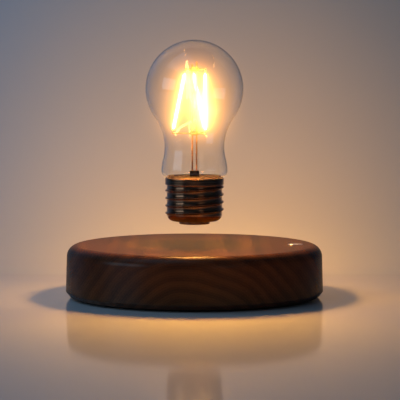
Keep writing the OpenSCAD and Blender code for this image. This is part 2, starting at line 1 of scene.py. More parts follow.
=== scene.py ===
"""A clear filament bulb floating over a round walnut base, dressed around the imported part.

Lengths are metres in the part's own frame: Z is up, the lamp's axis is Z, the table is Z = 0, the
power socket faces +Y and the touch pad is on the +X side.
"""

import json
import logging
import math
import random
from dataclasses import dataclass
from enum import Enum
from typing import Callable, Sequence

import bmesh
import bpy
from mathutils import Matrix, Vector

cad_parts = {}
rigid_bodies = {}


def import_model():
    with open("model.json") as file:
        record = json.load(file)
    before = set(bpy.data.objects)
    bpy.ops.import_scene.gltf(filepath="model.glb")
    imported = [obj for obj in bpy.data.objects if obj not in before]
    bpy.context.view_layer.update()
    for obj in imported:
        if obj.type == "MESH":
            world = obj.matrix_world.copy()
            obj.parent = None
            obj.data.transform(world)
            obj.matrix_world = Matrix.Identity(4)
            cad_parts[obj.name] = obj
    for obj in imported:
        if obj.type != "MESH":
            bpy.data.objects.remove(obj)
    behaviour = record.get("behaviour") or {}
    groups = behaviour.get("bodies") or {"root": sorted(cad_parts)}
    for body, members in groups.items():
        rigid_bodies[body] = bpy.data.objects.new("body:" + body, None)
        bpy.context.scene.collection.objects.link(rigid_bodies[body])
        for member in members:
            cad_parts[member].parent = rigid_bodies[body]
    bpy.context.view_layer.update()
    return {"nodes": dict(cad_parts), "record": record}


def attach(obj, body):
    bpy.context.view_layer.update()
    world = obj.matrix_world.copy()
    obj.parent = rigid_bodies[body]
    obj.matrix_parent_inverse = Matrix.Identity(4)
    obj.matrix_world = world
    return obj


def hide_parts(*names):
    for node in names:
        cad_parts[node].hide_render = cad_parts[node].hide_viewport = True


log = logging.getLogger("floating_bulb")

MM = 0.001
ON_AXIS = 0.000001 * MM
TURNED_SHARP_DEG = 38.0
CUT_SHARP_DEG = 30.0

Triple = tuple[float, float, float]
Colour = tuple[float, float, float, float]
Profile = list[tuple[float, float]]
Socket = bpy.types.NodeSocket
Input = float | tuple | Socket
Sockets = dict[str | int, Input]


class Body(Enum):
    """The part's bodies that new pieces ride on."""

    BASE = "base"
    BULB = "bulb"


class Axis(Enum):
    """Which way a round tool runs."""

    ALONG_Y = "Y"
    ALONG_Z = "Z"


# ---------------------------------------------------------------------------------------------
# Meshes
# ---------------------------------------------------------------------------------------------


def unit(value: float) -> float:
    """A value kept between 0 and 1."""
    return min(1.0, max(0.0, value))


def arc(centre: tuple[float, float], radius: float, start: float, end: float, steps: int) -> Profile:
    """Points on a circle's arc.

    Args:
        centre: The circle's centre as (outward, upward).
        radius: The circle's radius.
        start: The first angle in degrees, counted from outward towards upward.
        end: The last angle in degrees.
        steps: How many stretches the arc is cut into.

    Returns:
        The points from start to end, both included.
    """
    turns = [math.radians(start + (end - start) * i / steps) for i in range(steps + 1)]
    return [(centre[0] + radius * math.cos(t), centre[1] + radius * math.sin(t)) for t in turns]


def line(start: tuple[float, float], end: tuple[float, float], steps: int) -> Profile:
    """Evenly spaced points from start up to, but not including, end.

    Args:
        start: The first point.
        end: The point where the line stops.
        steps: How many points to give.

    Returns:
        The points.
    """
    return [
        (start[0] + (end[0] - start[0]) * i / steps, start[1] + (end[1] - start[1]) * i / steps)
        for i in range(steps)
    ]


def place_mesh(name: str, work: bmesh.types.BMesh) -> bpy.types.Object:
    """Puts a bmesh in the scene as a smooth-shaded object, its faces as they are.

    Args:
        name: The object's name.
        work: The finished bmesh, which is freed.

    Returns:
        The new object, at the origin.
    """
    mesh = bpy.data.meshes.new(name)
    work.to_mesh(mesh)
    work.free()
    mesh.shade_smooth()
    piece = bpy.data.objects.new(name, mesh)
    bpy.context.scene.collection.objects.link(piece)
    return piece


def new_object(name: str, work: bmesh.types.BMesh, sharp_deg: float = TURNED_SHARP_DEG) -> bpy.types.Object:
    """Turns a bmesh's faces outward and puts it in the scene.

    Args:
        name: The piece's name.
        work: The finished bmesh, which is freed.
        sharp_deg: Edges that turn by more than this stay crisp.

    Returns:
        The new object, at the origin.
    """
    bmesh.ops.recalc_face_normals(work, faces=work.faces)
    piece = place_mesh(name, work)
    piece.data.set_sharp_from_angle(angle=math.radians(sharp_deg))
    return piece


def revolve(
    profile: Profile,
    segments: int,
    lift: Callable[[int, float, float], float] | None = None,
    closed: bool = True,
) -> bmesh.types.BMesh:
    """Turns an outline about the Z axis.

    Args:
        profile: Points as (radius, height); a radius of 0 becomes one shared point on the axis.
        segments: How many steps the full turn takes.
        lift: Gives extra radius for (point number, turn in radians, height).
        closed: Whether the last point joins the first.

    Returns:
        The bmesh.
    """
    work = bmesh.new()
    rings: list[list[bmesh.types.BMVert]] = []
    for number, (radius, height) in enumerate(profile):
        if radius <= ON_AXIS:
            rings.append([work.verts.new((0.0, 0.0, height))] * segments)
            continue
        ring = []
        for k in range(segments):
            turn = 2 * math.pi * k / segments
            r = radius + (lift(number, turn, height) if lift else 0.0)
            ring.append(work.verts.new((r * math.cos(turn), r * math.sin(turn), height)))
        rings.append(ring)
    pairs = list(zip(rings, rings[1:]))
    if closed:
        pairs.append((rings[-1], rings[0]))
    for low, high in pairs:
        for k in range(segments):
            n = (k + 1) % segments
            corners = list(dict.fromkeys((low[k], low[n], high[n], high[k])))
            if len(corners) > 2:
                work.faces.new(corners)
    return work


def tube(path: Sequence[Vector], radii: Sequence[tuple[float, float]], sides: int) -> bmesh.types.BMesh:
    """A closed tube with an oval section along a path.

    Args:
        path: The centre line.
        radii: The section's two half-widths at each point of the path.
        sides: How many corners the section has.

    Returns:
        The bmesh.
    """
    work = bmesh.new()
    rings = []
    side = Vector((0.0, 1.0, 0.0))
    for i, point in enumerate(path):
        ahead = (path[min(i + 1, len(path) - 1)] - path[max(i - 1, 0)]).normalized()
        side = (side - ahead * side.dot(ahead)).normalized()
        across = ahead.cross(side)
        wide, thick = radii[i]
        rings.append(
            [
                work.verts.new(
                    point
                    + side * wide * math.cos(2 * math.pi * k / sides)
                    + across * thick * math.sin(2 * math.pi * k / sides)
                )
                for k in range(sides)
            ]
        )
    for low, high in zip(rings, rings[1:]):
        for k in range(sides):
            n = (k + 1) % sides
            work.faces.new((low[k], low[n], high[n], high[k]))
    work.faces.new(list(reversed(rings[0])))
    work.faces.new(rings[-1])
    return work


def rounded_block(low: Vector, high: Vector, round_by: float) -> bmesh.types.BMesh:
    """A block with rounded edges.

    Args:
        low: The lowest corner.
        high: The highest corner.
        round_by: The radius of the edges.

    Returns:
        The bmesh.
    """
    work = bmesh.new()
    bmesh.ops.create_cube(work, size=1.0)
    size = high - low
    bmesh.ops.scale(work, vec=size, verts=work.verts)
    bmesh.ops.translate(work, vec=(low + high) / 2, verts=work.verts)
    bmesh.ops.bevel(
        work, geom=list(work.edges), offset=round_by, segments=3, profile=0.5, affect="EDGES"
    )
    return work


def cut(piece: bpy.types.Object, cutter: bmesh.types.BMesh, join: bool = False) -> None:
    """Cuts a shape out of a piece, or joins one to it, and keeps the result.

    Args:
        piece: The piece to change.
        cutter: The other shape, which is freed.
        join: Whether the shape is joined on and not cut out.
    """
    other = new_object(piece.name + "_tool", cutter)
    step = piece.modifiers.new("cut", "BOOLEAN")
    step.operation = "UNION" if join else "DIFFERENCE"
    step.solver = "EXACT"
    step.object = other
    graph = bpy.context.evaluated_depsgraph_get()
    made = bpy.data.meshes.new_from_object(piece.evaluated_get(graph))
    piece.modifiers.clear()
    old = piece.data
    piece.data = made
    bpy.data.meshes.remove(old)
    bpy.data.objects.remove(other)
    piece.data.shade_smooth()
    piece.data.set_sharp_from_angle(angle=math.radians(CUT_SHARP_DEG))


def drum(at: Vector, axis: Axis, radius: float, length: float, segments: int = 64) -> bmesh.types.BMesh:
    """A plain round tool for cutting.

    Args:
        at: The centre of its first end.
        axis: Which way it runs.
        radius: Its radius.
        length: Its length.
        segments: How many sides it has.

    Returns:
        The bmesh.
    """
    work = revolve([(0.0, 0.0), (radius, 0.0), (radius, length), (0.0, length)], segments, closed=False)
    if axis is Axis.ALONG_Y:
        bmesh.ops.rotate(work, matrix=Matrix.Rotation(math.radians(-90), 3, "X"), verts=work.verts)
    bmesh.ops.translate(work, vec=at, verts=work.verts)
    return work


# ---------------------------------------------------------------------------------------------
# Shader building
# ---------------------------------------------------------------------------------------------


class Bench:
    """Adds and joins nodes in one node tree."""

    def __init__(self, tree: bpy.types.NodeTree) -> None:
        """Starts on an empty tree."""
        self.tree = tree
        tree.nodes.clear()

    def add(self, kind: str, sockets: Sockets | None = None, **settings: object) -> bpy.types.Node:
        """Adds a node.

        Args:
            kind: The node's type, without the leading "ShaderNode".
            sockets: A value, or another node's output, for each input by name or number.
            **settings: Properties to set on the node.

        Returns:
            The node.
        """
        node = self.tree.nodes.new("ShaderNode" + kind)
        for key, value in settings.items():
            setattr(node, key, value)
        for key, value in (sockets or {}).items():
            self.feed(node.inputs[key], value)
        return node

    def feed(self, socket: Socket, value: Input) -> None:
        """Sets an input to a value, or links it to another node's output.

        Args:
            socket: The input.
            value: The value or the output.
        """
        if isinstance(value, bpy.types.NodeSocket):
            self.tree.links.new(value, socket)
        else:
            socket.default_value = value

    def math(self, operation: str, a: Input, b: Input = 0.0, clamp: bool = False) -> Socket:
        """One Math node.

        Args:
            operation: What it does.
            a: The first number.
            b: The second number.
            clamp: Whether the result is kept between 0 and 1.

        Returns:
            Its output.
        """
        return self.add("Math", {0: a, 1: b}, operation=operation, use_clamp=clamp).outputs[0]

    def weighted(self, *terms: tuple[Input, float]) -> Socket:
        """Adds up values, each times its weight.

        Args:
            *terms: Pairs of value and weight.

        Returns:
            The sum.
        """
        parts = [self.math("MULTIPLY", value, weight) for value, weight in terms]
        total = parts[0]
        for part in parts[1:]:
            total = self.math("ADD", total, part)
        return total

    def vector(self, operation: str, *values: Input) -> Socket:
        """One Vector Math node's vector, from its vectors in order."""
        return self.add("VectorMath", dict(enumerate(values)), operation=operation).outputs[0]

    def stretched(self, scale: Triple, vector: Input) -> Socket:
        """Coordinates multiplied axis by axis."""
        return self.vector("MULTIPLY", vector, scale)

    def length(self, vector: Input) -> Socket:
        """How long a vector is."""
        return self.add("VectorMath", {0: vector}, operation="LENGTH").outputs["Value"]

    def parts(self, vector: Input) -> tuple[Socket, ...]:
        """A vector's three numbers."""
        return tuple(self.add("SeparateXYZ", {0: vector}).outputs)

    def coords(self) -> Socket:
        """The place of the point being shaded, in the part's frame."""
        return self.add("TexCoord").outputs["Object"]

    def noise(self, vector: Input, scale: Input, detail: float = 3.0, rough: float = 0.5) -> Socket:
        """A noise texture's value.

        Args:
            vector: The coordinates.
            scale: Cells per metre of the coordinates.
            detail: How many finer layers are added.
            rough: How strong those layers are.

        Returns:
            The value, about 0.5 on average.
        """
        sockets = {"Vector": vector, "Scale": scale, "Detail": detail, "Roughness": rough}
        return self.add("TexNoise", sockets).outputs["Fac"]

    def ramp(self, fac: Input, stops: Sequence[tuple[float, Colour]]) -> Socket:
        """A colour ramp with straight blends.

        Args:
            fac: Where on the ramp to read.
            stops: Pairs of place and colour.

        Returns:
            The colour.
        """
        node = self.add("ValToRGB", {"Fac": fac})
        elements = node.color_ramp.elements
        while len(elements) < len(stops):
            elements.new(0.5)
        for element, (place, colour) in zip(elements, stops):
            element.position = place
            element.color = colour
        return node.outputs["Color"]

    def mask(self, fac: Input, low: float, high: float, to_low: float = 0.0, to_high: float = 1.0) -> Socket:
        """Maps a value smoothly from one range to another, kept within it.

        Args:
            fac: The value.
            low: The value that gives to_low.
            high: The value that gives to_high.
            to_low: The result at and beyond low.
            to_high: The result at and beyond high.

        Returns:
            The result.
        """
        sockets = {"Value": fac, "From Min": low, "From Max": high, "To Min": to_low, "To Max": to_high}
        return self.add("MapRange", sockets, interpolation_type="SMOOTHSTEP").outputs["Result"]

    def mix(self, fac: Input, a: Input, b: Input, blend: str = "MIX") -> Socket:
        """Mixes two colours.

        Args:
            fac: How much of the second is used.
            a: The first colour.
            b: The second colour.
            blend: How they are combined.

        Returns:
            The colour.
        """
        colours = {0: fac, 6: a, 7: b}
        return self.add("Mix", colours, data_type="RGBA", blend_type=blend).outputs[2]

    def shaded(self, colour: Colour, tone: Socket, low: float, high: float) -> Socket:
        """A colour made darker and lighter by a tone.

        Args:
            colour: The colour.
            tone: The tone, about 0.5 on average.
            low: What a dark tone multiplies the colour by.
            high: What a light tone multiplies it by.

        Returns:
            The colour.
        """
        shade = self.mask(tone, 0.25, 0.75, low, high)
        grey = self.add("CombineColor", {0: shade, 1: shade, 2: shade}).outputs[0]
        return self.mix(1.0, colour, grey, "MULTIPLY")

    def bump(self, height: Input, distance: float, strength: float) -> Socket:
        """Turns a height into a normal.

        Args:
            height: The height, from 0 to 1.
            distance: How many metres a height of 1 is.
            strength: How much of the effect is used.

        Returns:
            The normal.
        """
        sockets = {"Height": height, "Distance": distance, "Strength": strength}
        return self.add("Bump", sockets).outputs["Normal"]

    def group(self, tree: bpy.types.NodeTree, sockets: Sockets) -> bpy.types.NodeOutputs:
        """Places a node group, sets its inputs and gives its outputs."""
        return self.add("Group", node_tree=tree, sockets=sockets).outputs


class MaterialBench(Bench):
    """A bench on the tree of a new material."""

    def __init__(self, name: str) -> None:
        """Opens the material.

        Args:
            name: The material's name.
        """
        self.material = bpy.data.materials.new(name)
        self.material.use_nodes = True
        super().__init__(self.material.node_tree)
        self.out = self.add("OutputMaterial")

    def principled(self, sockets: Sockets) -> Socket:
        """The Principled shader, with these inputs set."""
        return self.add("BsdfPrincipled", sockets).outputs[0]

    def close(self, shader: Socket) -> bpy.types.Material:
        """Joins a shader to the material's output and gives the material."""
        self.feed(self.out.inputs["Surface"], shader)
        return self.material


class Effects:
    """The effects that several finishes share, each a node group built once."""

    def __init__(self) -> None:
        """Builds every group."""
        self.wear = self._edge_wear()
        self.grain = self._fine_grain()
        self.dust = self._dust()
        self.turned = self._turned_lines()

    @staticmethod
    def _start(
        name: str, inputs: dict[str, float], outputs: Sequence[str]
    ) -> tuple[Bench, bpy.types.NodeOutputs, bpy.types.NodeInputs]:
        """Opens a new group.

        Args:
            name: The group's name.
            inputs: Each input's name and first value.
            outputs: Each output's name.

        Returns:
            The bench for its tree, the values it is given, and the results it puts out.
        """
        tree = bpy.data.node_groups.new(name, "ShaderNodeTree")
        for key, value in inputs.items():
            socket = tree.interface.new_socket(name=key, in_out="INPUT", socket_type="NodeSocketFloat")
            socket.default_value = value
        for key in outputs:
            tree.interface.new_socket(name=key, in_out="OUTPUT", socket_type="NodeSocketFloat")
        bench = Bench(tree)
        given = tree.nodes.new("NodeGroupInput").outputs
        return bench, given, tree.nodes.new("NodeGroupOutput").inputs

    def _edge_wear(self) -> bpy.types.NodeTree:
        """Rubbed edges: a mask that is highest where an edge has lost its finish.

        Returns:
            The group.
        """
        bench, given, out = self._start("edge_wear", {"Amount": 0.5, "Scale": 120.0}, ["Mask"])
        edge = bench.mask(bench.add("NewGeometry").outputs["Pointiness"], 0.50, 0.58)
        broken = bench.mask(bench.noise(bench.coords(), given["Scale"], 4.0), 0.38, 0.62)
        worn = bench.math("MULTIPLY", edge, broken)
        bench.feed(out["Mask"], bench.math("MULTIPLY", worn, given["Amount"], clamp=True))
        return bench.tree

    def _fine_grain(self) -> bpy.types.NodeTree:
        """The fine grain of a moulded or sprayed skin: a height, and a slow change of tone.

        Returns:
            The group.
        """
        bench, given, out = self._start("fine_grain", {"Scale": 4000.0}, ["Height", "Tone"])
        where = bench.coords()
        bench.feed(out["Height"], bench.noise(where, given["Scale"], 2.0))
        bench.feed(out["Tone"], bench.noise(where, 60.0))
        return bench.tree

    def _dust(self) -> bpy.types.NodeTree:
        """Dust lying on faces that look up: a mask.

        Returns:
            The group.
        """
        bench, given, out = self._start("dust", {"Amount": 0.3, "Scale": 900.0}, ["Mask"])
        _, _, up = bench.parts(bench.add("NewGeometry").outputs["Normal"])
        specks = bench.mask(bench.noise(bench.coords(), given["Scale"], 5.0), 0.5, 0.72)
        lying = bench.math("MULTIPLY", bench.mask(up, 0.2, 0.95), specks)
        bench.feed(out["Mask"], bench.math("MULTIPLY", lying, given["Amount"], clamp=True))
        return bench.tree

    def _turned_lines(self) -> bpy.types.NodeTree:
        """Lines left by a lathe about an upright axis at X: a height and a tone.

        Returns:
            The group.
        """
        inputs = {"Axis X": 0.0, "Scale": 9000.0}
        bench, given, out = self._start("turned_lines", inputs, ["Height", "Tone"])
        along_x, along_y, height = bench.parts(bench.coords())
        x = bench.math("SUBTRACT", along_x, given["Axis X"])
        squared = bench.math("ADD", bench.math("MULTIPLY", x, x), bench.math("POWER", along_y, 2.0))
        place = bench.add("CombineXYZ", {0: bench.math("SQRT", squared), 1: height}).outputs[0]
        bench.feed(out["Height"], bench.noise(place, given["Scale"], 2.0))
        bench.feed(out["Tone"], bench.noise(place, 1400.0))
        return bench.tree


# ---------------------------------------------------------------------------------------------
# Finishes
# ---------------------------------------------------------------------------------------------


@dataclass(frozen=True)
class Walnut:
    """Oiled walnut, cut so that its growth rings arch across the front of the base."""

    deep: Colour = (0.036, 0.0145, 0.0070, 1.0)
    body: Colour = (0.086, 0.0310, 0.0118, 1.0)
    light: Colour = (0.165, 0.0660, 0.0240, 1.0)
    pore: Colour = (0.012, 0.0065, 0.004, 1.0)
    rubbed: Colour = (0.16, 0.092, 0.052, 1.0)
    dust: Colour = (0.35, 0.33, 0.31, 1.0)
    body_place: float = 0.38
    band_weight: float = 0.24
    fine_weight: float = 0.10
    fibre_weight: float = 0.55
    cloud_weight: float = 0.60
    pith: Triple = (-0.0015, 0.0, -0.0282)
    push: Triple = (0.014, 0.0, 0.014)
    ring_gap: float = 0.0066
    fine_share: float = 0.21
    rough: float = 0.33
    bump_depth: float = 0.00006

    def _bent(self, bench: Bench, where: Socket) -> Socket:
        """Pushes the coordinates about slowly, so that no ring is a true circle.

        Args:
            bench: The material's bench.
            where: The coordinates.

        Returns:
            The bent coordinates.
        """
        sockets = {"Vector": bench.stretched((1.0, 0.25, 1.0), where), "Scale": 16.0, "Detail": 2.0}
        drift = bench.add("TexNoise", sockets).outputs["Color"]
        centred = bench.vector("SUBTRACT", drift, (0.5, 0.5, 0.5))
        return bench.vector("MULTIPLY_ADD", centred, self.push, where)

    def _rings(self, bench: Bench, bent: Socket) -> tuple[Socket, Socket]:
        """Growth rings about the pith.

        Args:
            bench: The material's bench.
            bent: The bent coordinates.

        Returns:
            The broad bands, of uneven strength, and the fine lines.
        """
        from_pith = bench.vector("SUBTRACT", bent, self.pith)
        reach = bench.length(bench.stretched((1.0, 0.05, 1.0), from_pith))
        count = bench.math("DIVIDE", reach, self.ring_gap)
        share = bench.math("FRACT", count)
        which = {"W": bench.math("FLOOR", count)}
        strength = bench.add("TexWhiteNoise", which, noise_dimensions="1D").outputs["Value"]
        band = bench.math("MULTIPLY", bench.mask(share, 0.15, 0.62), bench.mask(share, 1.0, 0.80))
        band = bench.math("MULTIPLY", band, bench.mask(strength, 0.0, 1.0, 0.35, 1.0))
        fine = bench.math("FRACT", bench.math("DIVIDE", reach, self.ring_gap * self.fine_share))
        return band, bench.mask(fine, 0.2, 0.9)

    def make(self, effects: Effects) -> bpy.types.Material:
        """Builds the material.

        Args:
            effects: The shared effects.

        Returns:
            The material.
        """
        bench = MaterialBench("walnut_oiled")
        where = bench.coords()
        bent = self._bent(bench, where)
        band, fine = self._rings(bench, bent)
        fibre = bench.noise(bench.stretched((1.0, 0.035, 1.0), bent), 1500.0, 4.0, 0.6)
        pores = bench.noise(bench.stretched((1.0, 0.06, 1.0), where), 2600.0, 2.0)
        pores = bench.mask(pores, 0.60, 0.70)
        cloud = bench.noise(bench.stretched((1.0, 0.4, 1.0), where), 34.0)
        tone = bench.weighted(
            (band, self.band_weight),
            (fine, self.fine_weight),
            (bench.math("SUBTRACT", fibre, 0.5), self.fibre_weight),
            (bench.math("SUBTRACT", cloud, 0.35), self.cloud_weight),
        )
        colour = bench.ramp(tone, [(0.0, self.deep), (self.body_place, self.body), (1.0, self.light)])
        colour = bench.mix(bench.math("MULTIPLY", pores, 0.65), colour, self.pore)
        wear = bench.group(effects.wear, {"Amount": 0.35, "Scale": 260.0})["Mask"]
        colour = bench.mix(wear, colour, self.rubbed)
        dust = bench.group(effects.dust, {"Amount": 0.10, "Scale": 1600.0})["Mask"]
        colour = bench.mix(dust, colour, self.dust)
        handled = bench.noise(where, 48.0, 4.0)
        handled = bench.mask(handled, 0.3, 0.7, self.rough - 0.05, self.rough + 0.07)
        height = bench.weighted((fibre, 0.4), (pores, -0.8), (fine, 0.15))
        surface = bench.principled(
            {
                "Base Color": colour,
                "Roughness": bench.weighted((handled, 1.0), (pores, 0.2)),
                "Coat Weight": 0.45,
                "Coat Roughness": 0.26,
                "Specular IOR Level": 0.0,
                "Normal": bench.bump(height, self.bump_depth, 0.7),
            }
        )
        return bench.close(surface)


@dataclass(frozen=True)
class Metal:
    """A metal with lathe lines or a fine skin, and rubbed edges."""

    name: str
    colour: Colour
    worn: Colour
    rough: float
    axis_x: float = 0.0
    turned: bool = True
    wear: float = 0.4
    coat: float = 0.0
    line_depth: float = 0.000012

    def make(self, effects: Effects) -> bpy.types.Material:
        """Builds the material.

        Args:
            effects: The shared effects.

        Returns:
            The material.
        """
        bench = MaterialBench(self.name)
        if self.turned:
            skin = bench.group(effects.turned, {"Axis X": self.axis_x, "Scale": 9000.0})
        else:
            skin = bench.group(effects.grain, {"Scale": 5200.0})
        wear = bench.group(effects.wear, {"Amount": self.wear, "Scale": 420.0})["Mask"]
        smudge = bench.noise(bench.coords(), 150.0, 5.0, 0.6)
        smudge = bench.mask(smudge, 0.35, 0.7, self.rough - 0.05, self.rough + 0.09)
        tinted = bench.shaded(self.colour, skin["Tone"], 0.80, 1.12)
        surface = bench.principled(
            {
                "Base Color": bench.mix(wear, tinted, self.worn),
                "Metallic": 1.0,
                "Roughness": bench.weighted((smudge, 1.0), (wear, 0.12)),
                "Coat Weight": self.coat,
                "Coat Roughness": 0.07,
                "Normal": bench.bump(skin["Height"], self.line_depth, 0.6),
            }
        )
        return bench.close(surface)


@dataclass(frozen=True)
class Plastic:
    """Moulded plastic, rubber or another dull solid, with a fine skin and a little dust."""

    name: str
    colour: Colour
    rough: float
    grain: float = 3600.0
    depth: float = 0.00003
    dust: float = 0.25
    dust_colour: Colour = (0.42, 0.40, 0.38, 1.0)
    shine: float = 0.5

    def make(self, effects: Effects) -> bpy.types.Material:
        """Builds the material.

        Args:
            effects: The shared effects.

        Returns:
            The material.
        """
        bench = MaterialBench(self.name)
        skin = bench.group(effects.grain, {"Scale": self.grain})
        wear = bench.group(effects.wear, {"Amount": 0.35, "Scale": 300.0})["Mask"]
        dust = bench.group(effects.dust, {"Amount": self.dust, "Scale": 1200.0})["Mask"]
        pale = tuple(min(1.0, c * 1.5 + 0.03) for c in self.colour[:3]) + (1.0,)
        colour = bench.shaded(self.colour, skin["Tone"], 0.86, 1.14)
        colour = bench.mix(dust, bench.mix(wear, colour, pale), self.dust_colour)
        rough = bench.mask(skin["Tone"], 0.3, 0.7, self.rough - 0.05, self.rough + 0.06)
        surface = bench.principled(
            {
                "Base Color": colour,
                "Roughness": bench.weighted((rough, 1.0), (dust, 0.4)),
                "Specular IOR Level": self.shine,
                "Normal": bench.bump(skin["Height"], self.depth, 0.5),
            }
        )
        return bench.close(surface)


@dataclass(frozen=True)
class WoundCopper:
    """Lacquered copper wire, wound in tight turns about an upright axis, with painted shade in the grooves
    between the turns.
    """

    # Painted shade: the dark colour in the grooves between the turns.
    painted_turn_shade: Colour = (0.14, 0.045, 0.02, 1.0)
    wire: Colour = (0.62, 0.23, 0.09, 1.0)
    bright: Colour = (0.75, 0.33, 0.13, 1.0)
    dust: Colour = (0.4, 0.37, 0.34, 1.0)
    turns_per_metre: float = 1700.0

    def make(self, effects: Effects) -> bpy.types.Material:
        """Builds the material.

        Args:
            effects: The shared effects.

        Returns:
            The material.
        """
        bench = MaterialBench("wound_copper")
        where = bench.coords()
        _, _, height = bench.parts(where)
        rise = bench.math("MULTIPLY", height, self.turns_per_metre * 2 * math.pi)
        ridge = bench.math("ABSOLUTE", bench.math("SINE", rise))
        slow = bench.noise(where, 260.0)
        # Painted shade: the colour darkens in the grooves between the turns.
        colour = bench.mix(bench.mask(ridge, 0.0, 0.45), self.painted_turn_shade, self.wire)
        colour = bench.mix(bench.mask(slow, 0.35, 0.75), colour, self.bright)
        dust = bench.group(effects.dust, {"Amount": 0.2, "Scale": 1500.0})["Mask"]
        surface = bench.principled(
            {
                "Base Color": bench.mix(dust, colour, self.dust),
                "Metallic": 0.85,
                "Roughness": bench.mask(slow, 0.3, 0.7, 0.28, 0.42),
                "Coat Weight": 0.5,
                "Coat Roughness": 0.15,
                "Normal": bench.bump(ridge, 0.0001, 0.8),
            }
        )
        return bench.close(surface)


@dataclass(frozen=True)
class CircuitBoard:
    """Green solder mask over copper tracks, with tinned pads."""

    mask: Colour = (0.012, 0.085, 0.038, 1.0)
    track: Colour = (0.030, 0.150, 0.060, 1.0)
    tin: Colour = (0.55, 0.56, 0.55, 1.0)
    dust: Colour = (0.4, 0.4, 0.38, 1.0)
    lanes_scale: float = 130.0
    pads_scale: float = 420.0

    def _tracks(self, bench: Bench, where: Socket) -> Socket:
        """The tracks: the lanes between bricks, broken here and there.

        Args:
            bench: The material's bench.
            where: The coordinates.

        Returns:
            The mask.
        """
        cells = {"Vector": where, "Scale": self.lanes_scale, "Mortar Size": 0.12, "Mortar Smooth": 0.1}
        lanes = bench.math("SUBTRACT", 1.0, bench.add("TexBrick", {**cells, "Bias": 0.0}).outputs["Fac"])
        return bench.math("MULTIPLY", lanes, bench.mask(bench.noise(where, 220.0, 1.0), 0.44, 0.50))

    def _pads(self, bench: Bench, where: Socket) -> Socket:
        """The tinned pads: small round spots, in patches.

        Args:
            bench: The material's bench.
            where: The coordinates.

        Returns:
            The mask.
        """
        spots = {"Vector": where, "Scale": self.pads_scale, "Randomness": 0.35}
        round_pads = bench.mask(bench.add("TexVoronoi", spots).outputs["Distance"], 0.20, 0.16)
        return bench.math("MULTIPLY", round_pads, bench.mask(bench.noise(where, 90.0, 1.0), 0.52, 0.58))

    def make(self, effects: Effects) -> bpy.types.Material:
        """Builds the material.

        Args:
            effects: The shared effects.

        Returns:
            The material.
        """
        bench = MaterialBench("circuit_board")
        where = bench.coords()
        tracks = self._tracks(bench, where)
        pads = self._pads(bench, where)
        skin = bench.group(effects.grain, {"Scale": 5000.0})
        colour = bench.mix(pads, bench.mix(tracks, self.mask, self.track), self.tin)
        dust = bench.group(effects.dust, {"Amount": 0.2, "Scale": 1300.0})["Mask"]
        height = bench.weighted((tracks, 0.6), (skin["Height"], 0.2))
        surface = bench.principled(
            {
                "Base Color": bench.mix(dust, colour, self.dust),
                "Metallic": bench.math("MULTIPLY", pads, 0.9),
                "Roughness": bench.mask(skin["Tone"], 0.3, 0.7, 0.26, 0.38),
                "Normal": bench.bump(height, 0.00004, 0.6),
            }
        )
        return bench.close(surface)


@dataclass(frozen=True)
class BlownGlass:
    """Thin clear glass with the faint unevenness of a blown bulb. It lets the lamp's own light out."""

    name: str = "blown_glass"
    tint: Colour = (0.985, 0.990, 0.985, 1.0)
    wave: float = 0.00004
    haze: float = 0.012
    straight_tint: Colour = (0.95, 0.955, 0.95, 1.0)

    def make(self, effects: Effects) -> bpy.types.Material:
        """Builds the material. Shadow and diffuse rays go straight through it.

        Args:
            effects: The shared effects.

        Returns:
            The material.
        """
        bench = MaterialBench(self.name)
        where = bench.coords()
        wave = bench.noise(bench.stretched((1.0, 1.0, 0.45), where), 70.0, 2.0, 0.4)
        seeds = bench.mask(bench.noise(where, 900.0, 2.0), 0.70, 0.78)
        smear = bench.mask(bench.noise(where, 45.0, 4.0, 0.6), 0.45, 0.8, 0.0, self.haze)
        dust = bench.group(effects.dust, {"Amount": 0.5, "Scale": 2400.0})["Mask"]
        height = bench.weighted((wave, 1.0), (seeds, 0.12))
        surface = bench.principled(
            {
                "Base Color": self.tint,
                "Roughness": bench.weighted((smear, 1.0), (dust, 0.03)),
                "IOR": 1.47,
                "Transmission Weight": 1.0,
                "Normal": bench.bump(height, self.wave, 0.5),
            }
        )
        path = bench.add("LightPath").outputs
        straight = bench.math("MAXIMUM", path["Is Shadow Ray"], path["Is Diffuse Ray"])
        clear = bench.add("BsdfTransparent", {"Color": self.straight_tint}).outputs[0]
        mixed = bench.add("MixShader", {0: straight, 1: surface, 2: clear})
        return bench.close(mixed.outputs[0])


@dataclass(frozen=True)
class GlowingPhosphor:
    """The lit silicone-and-phosphor coat of a filament, hotter over each of its chips."""

    coat: Colour = (0.90, 0.62, 0.20, 1.0)
    hot: Colour = (1.0, 0.50, 0.14, 1.0)
    warm: Colour = (1.0, 0.42, 0.09, 1.0)
    strength: float = 1000.0
    chips_per_metre: float = 780.0

    def make(self, effects: Effects) -> bpy.types.Material:
        """Builds the material.

        Args:
            effects: The shared effects.

        Returns:
            The material.
        """
        bench = MaterialBench("glowing_phosphor")
        _, _, height = bench.parts(bench.coords())
        beat = bench.math("SINE", bench.math("MULTIPLY", height, self.chips_per_metre * 2 * math.pi))
        skin = bench.group(effects.grain, {"Scale": 3800.0})
        surface = bench.principled(
            {
                "Base Color": self.coat,
                "Roughness": 0.45,
                "Emission Color": bench.mix(bench.mask(beat, -0.8, 0.8), self.warm, self.hot),
                "Emission Strength": self.strength,
                "Normal": bench.bump(skin["Height"], 0.00005, 0.5),
            }
        )
        bench.material.cycles.emission_sampling = "FRONT"
        return bench.close(surface)


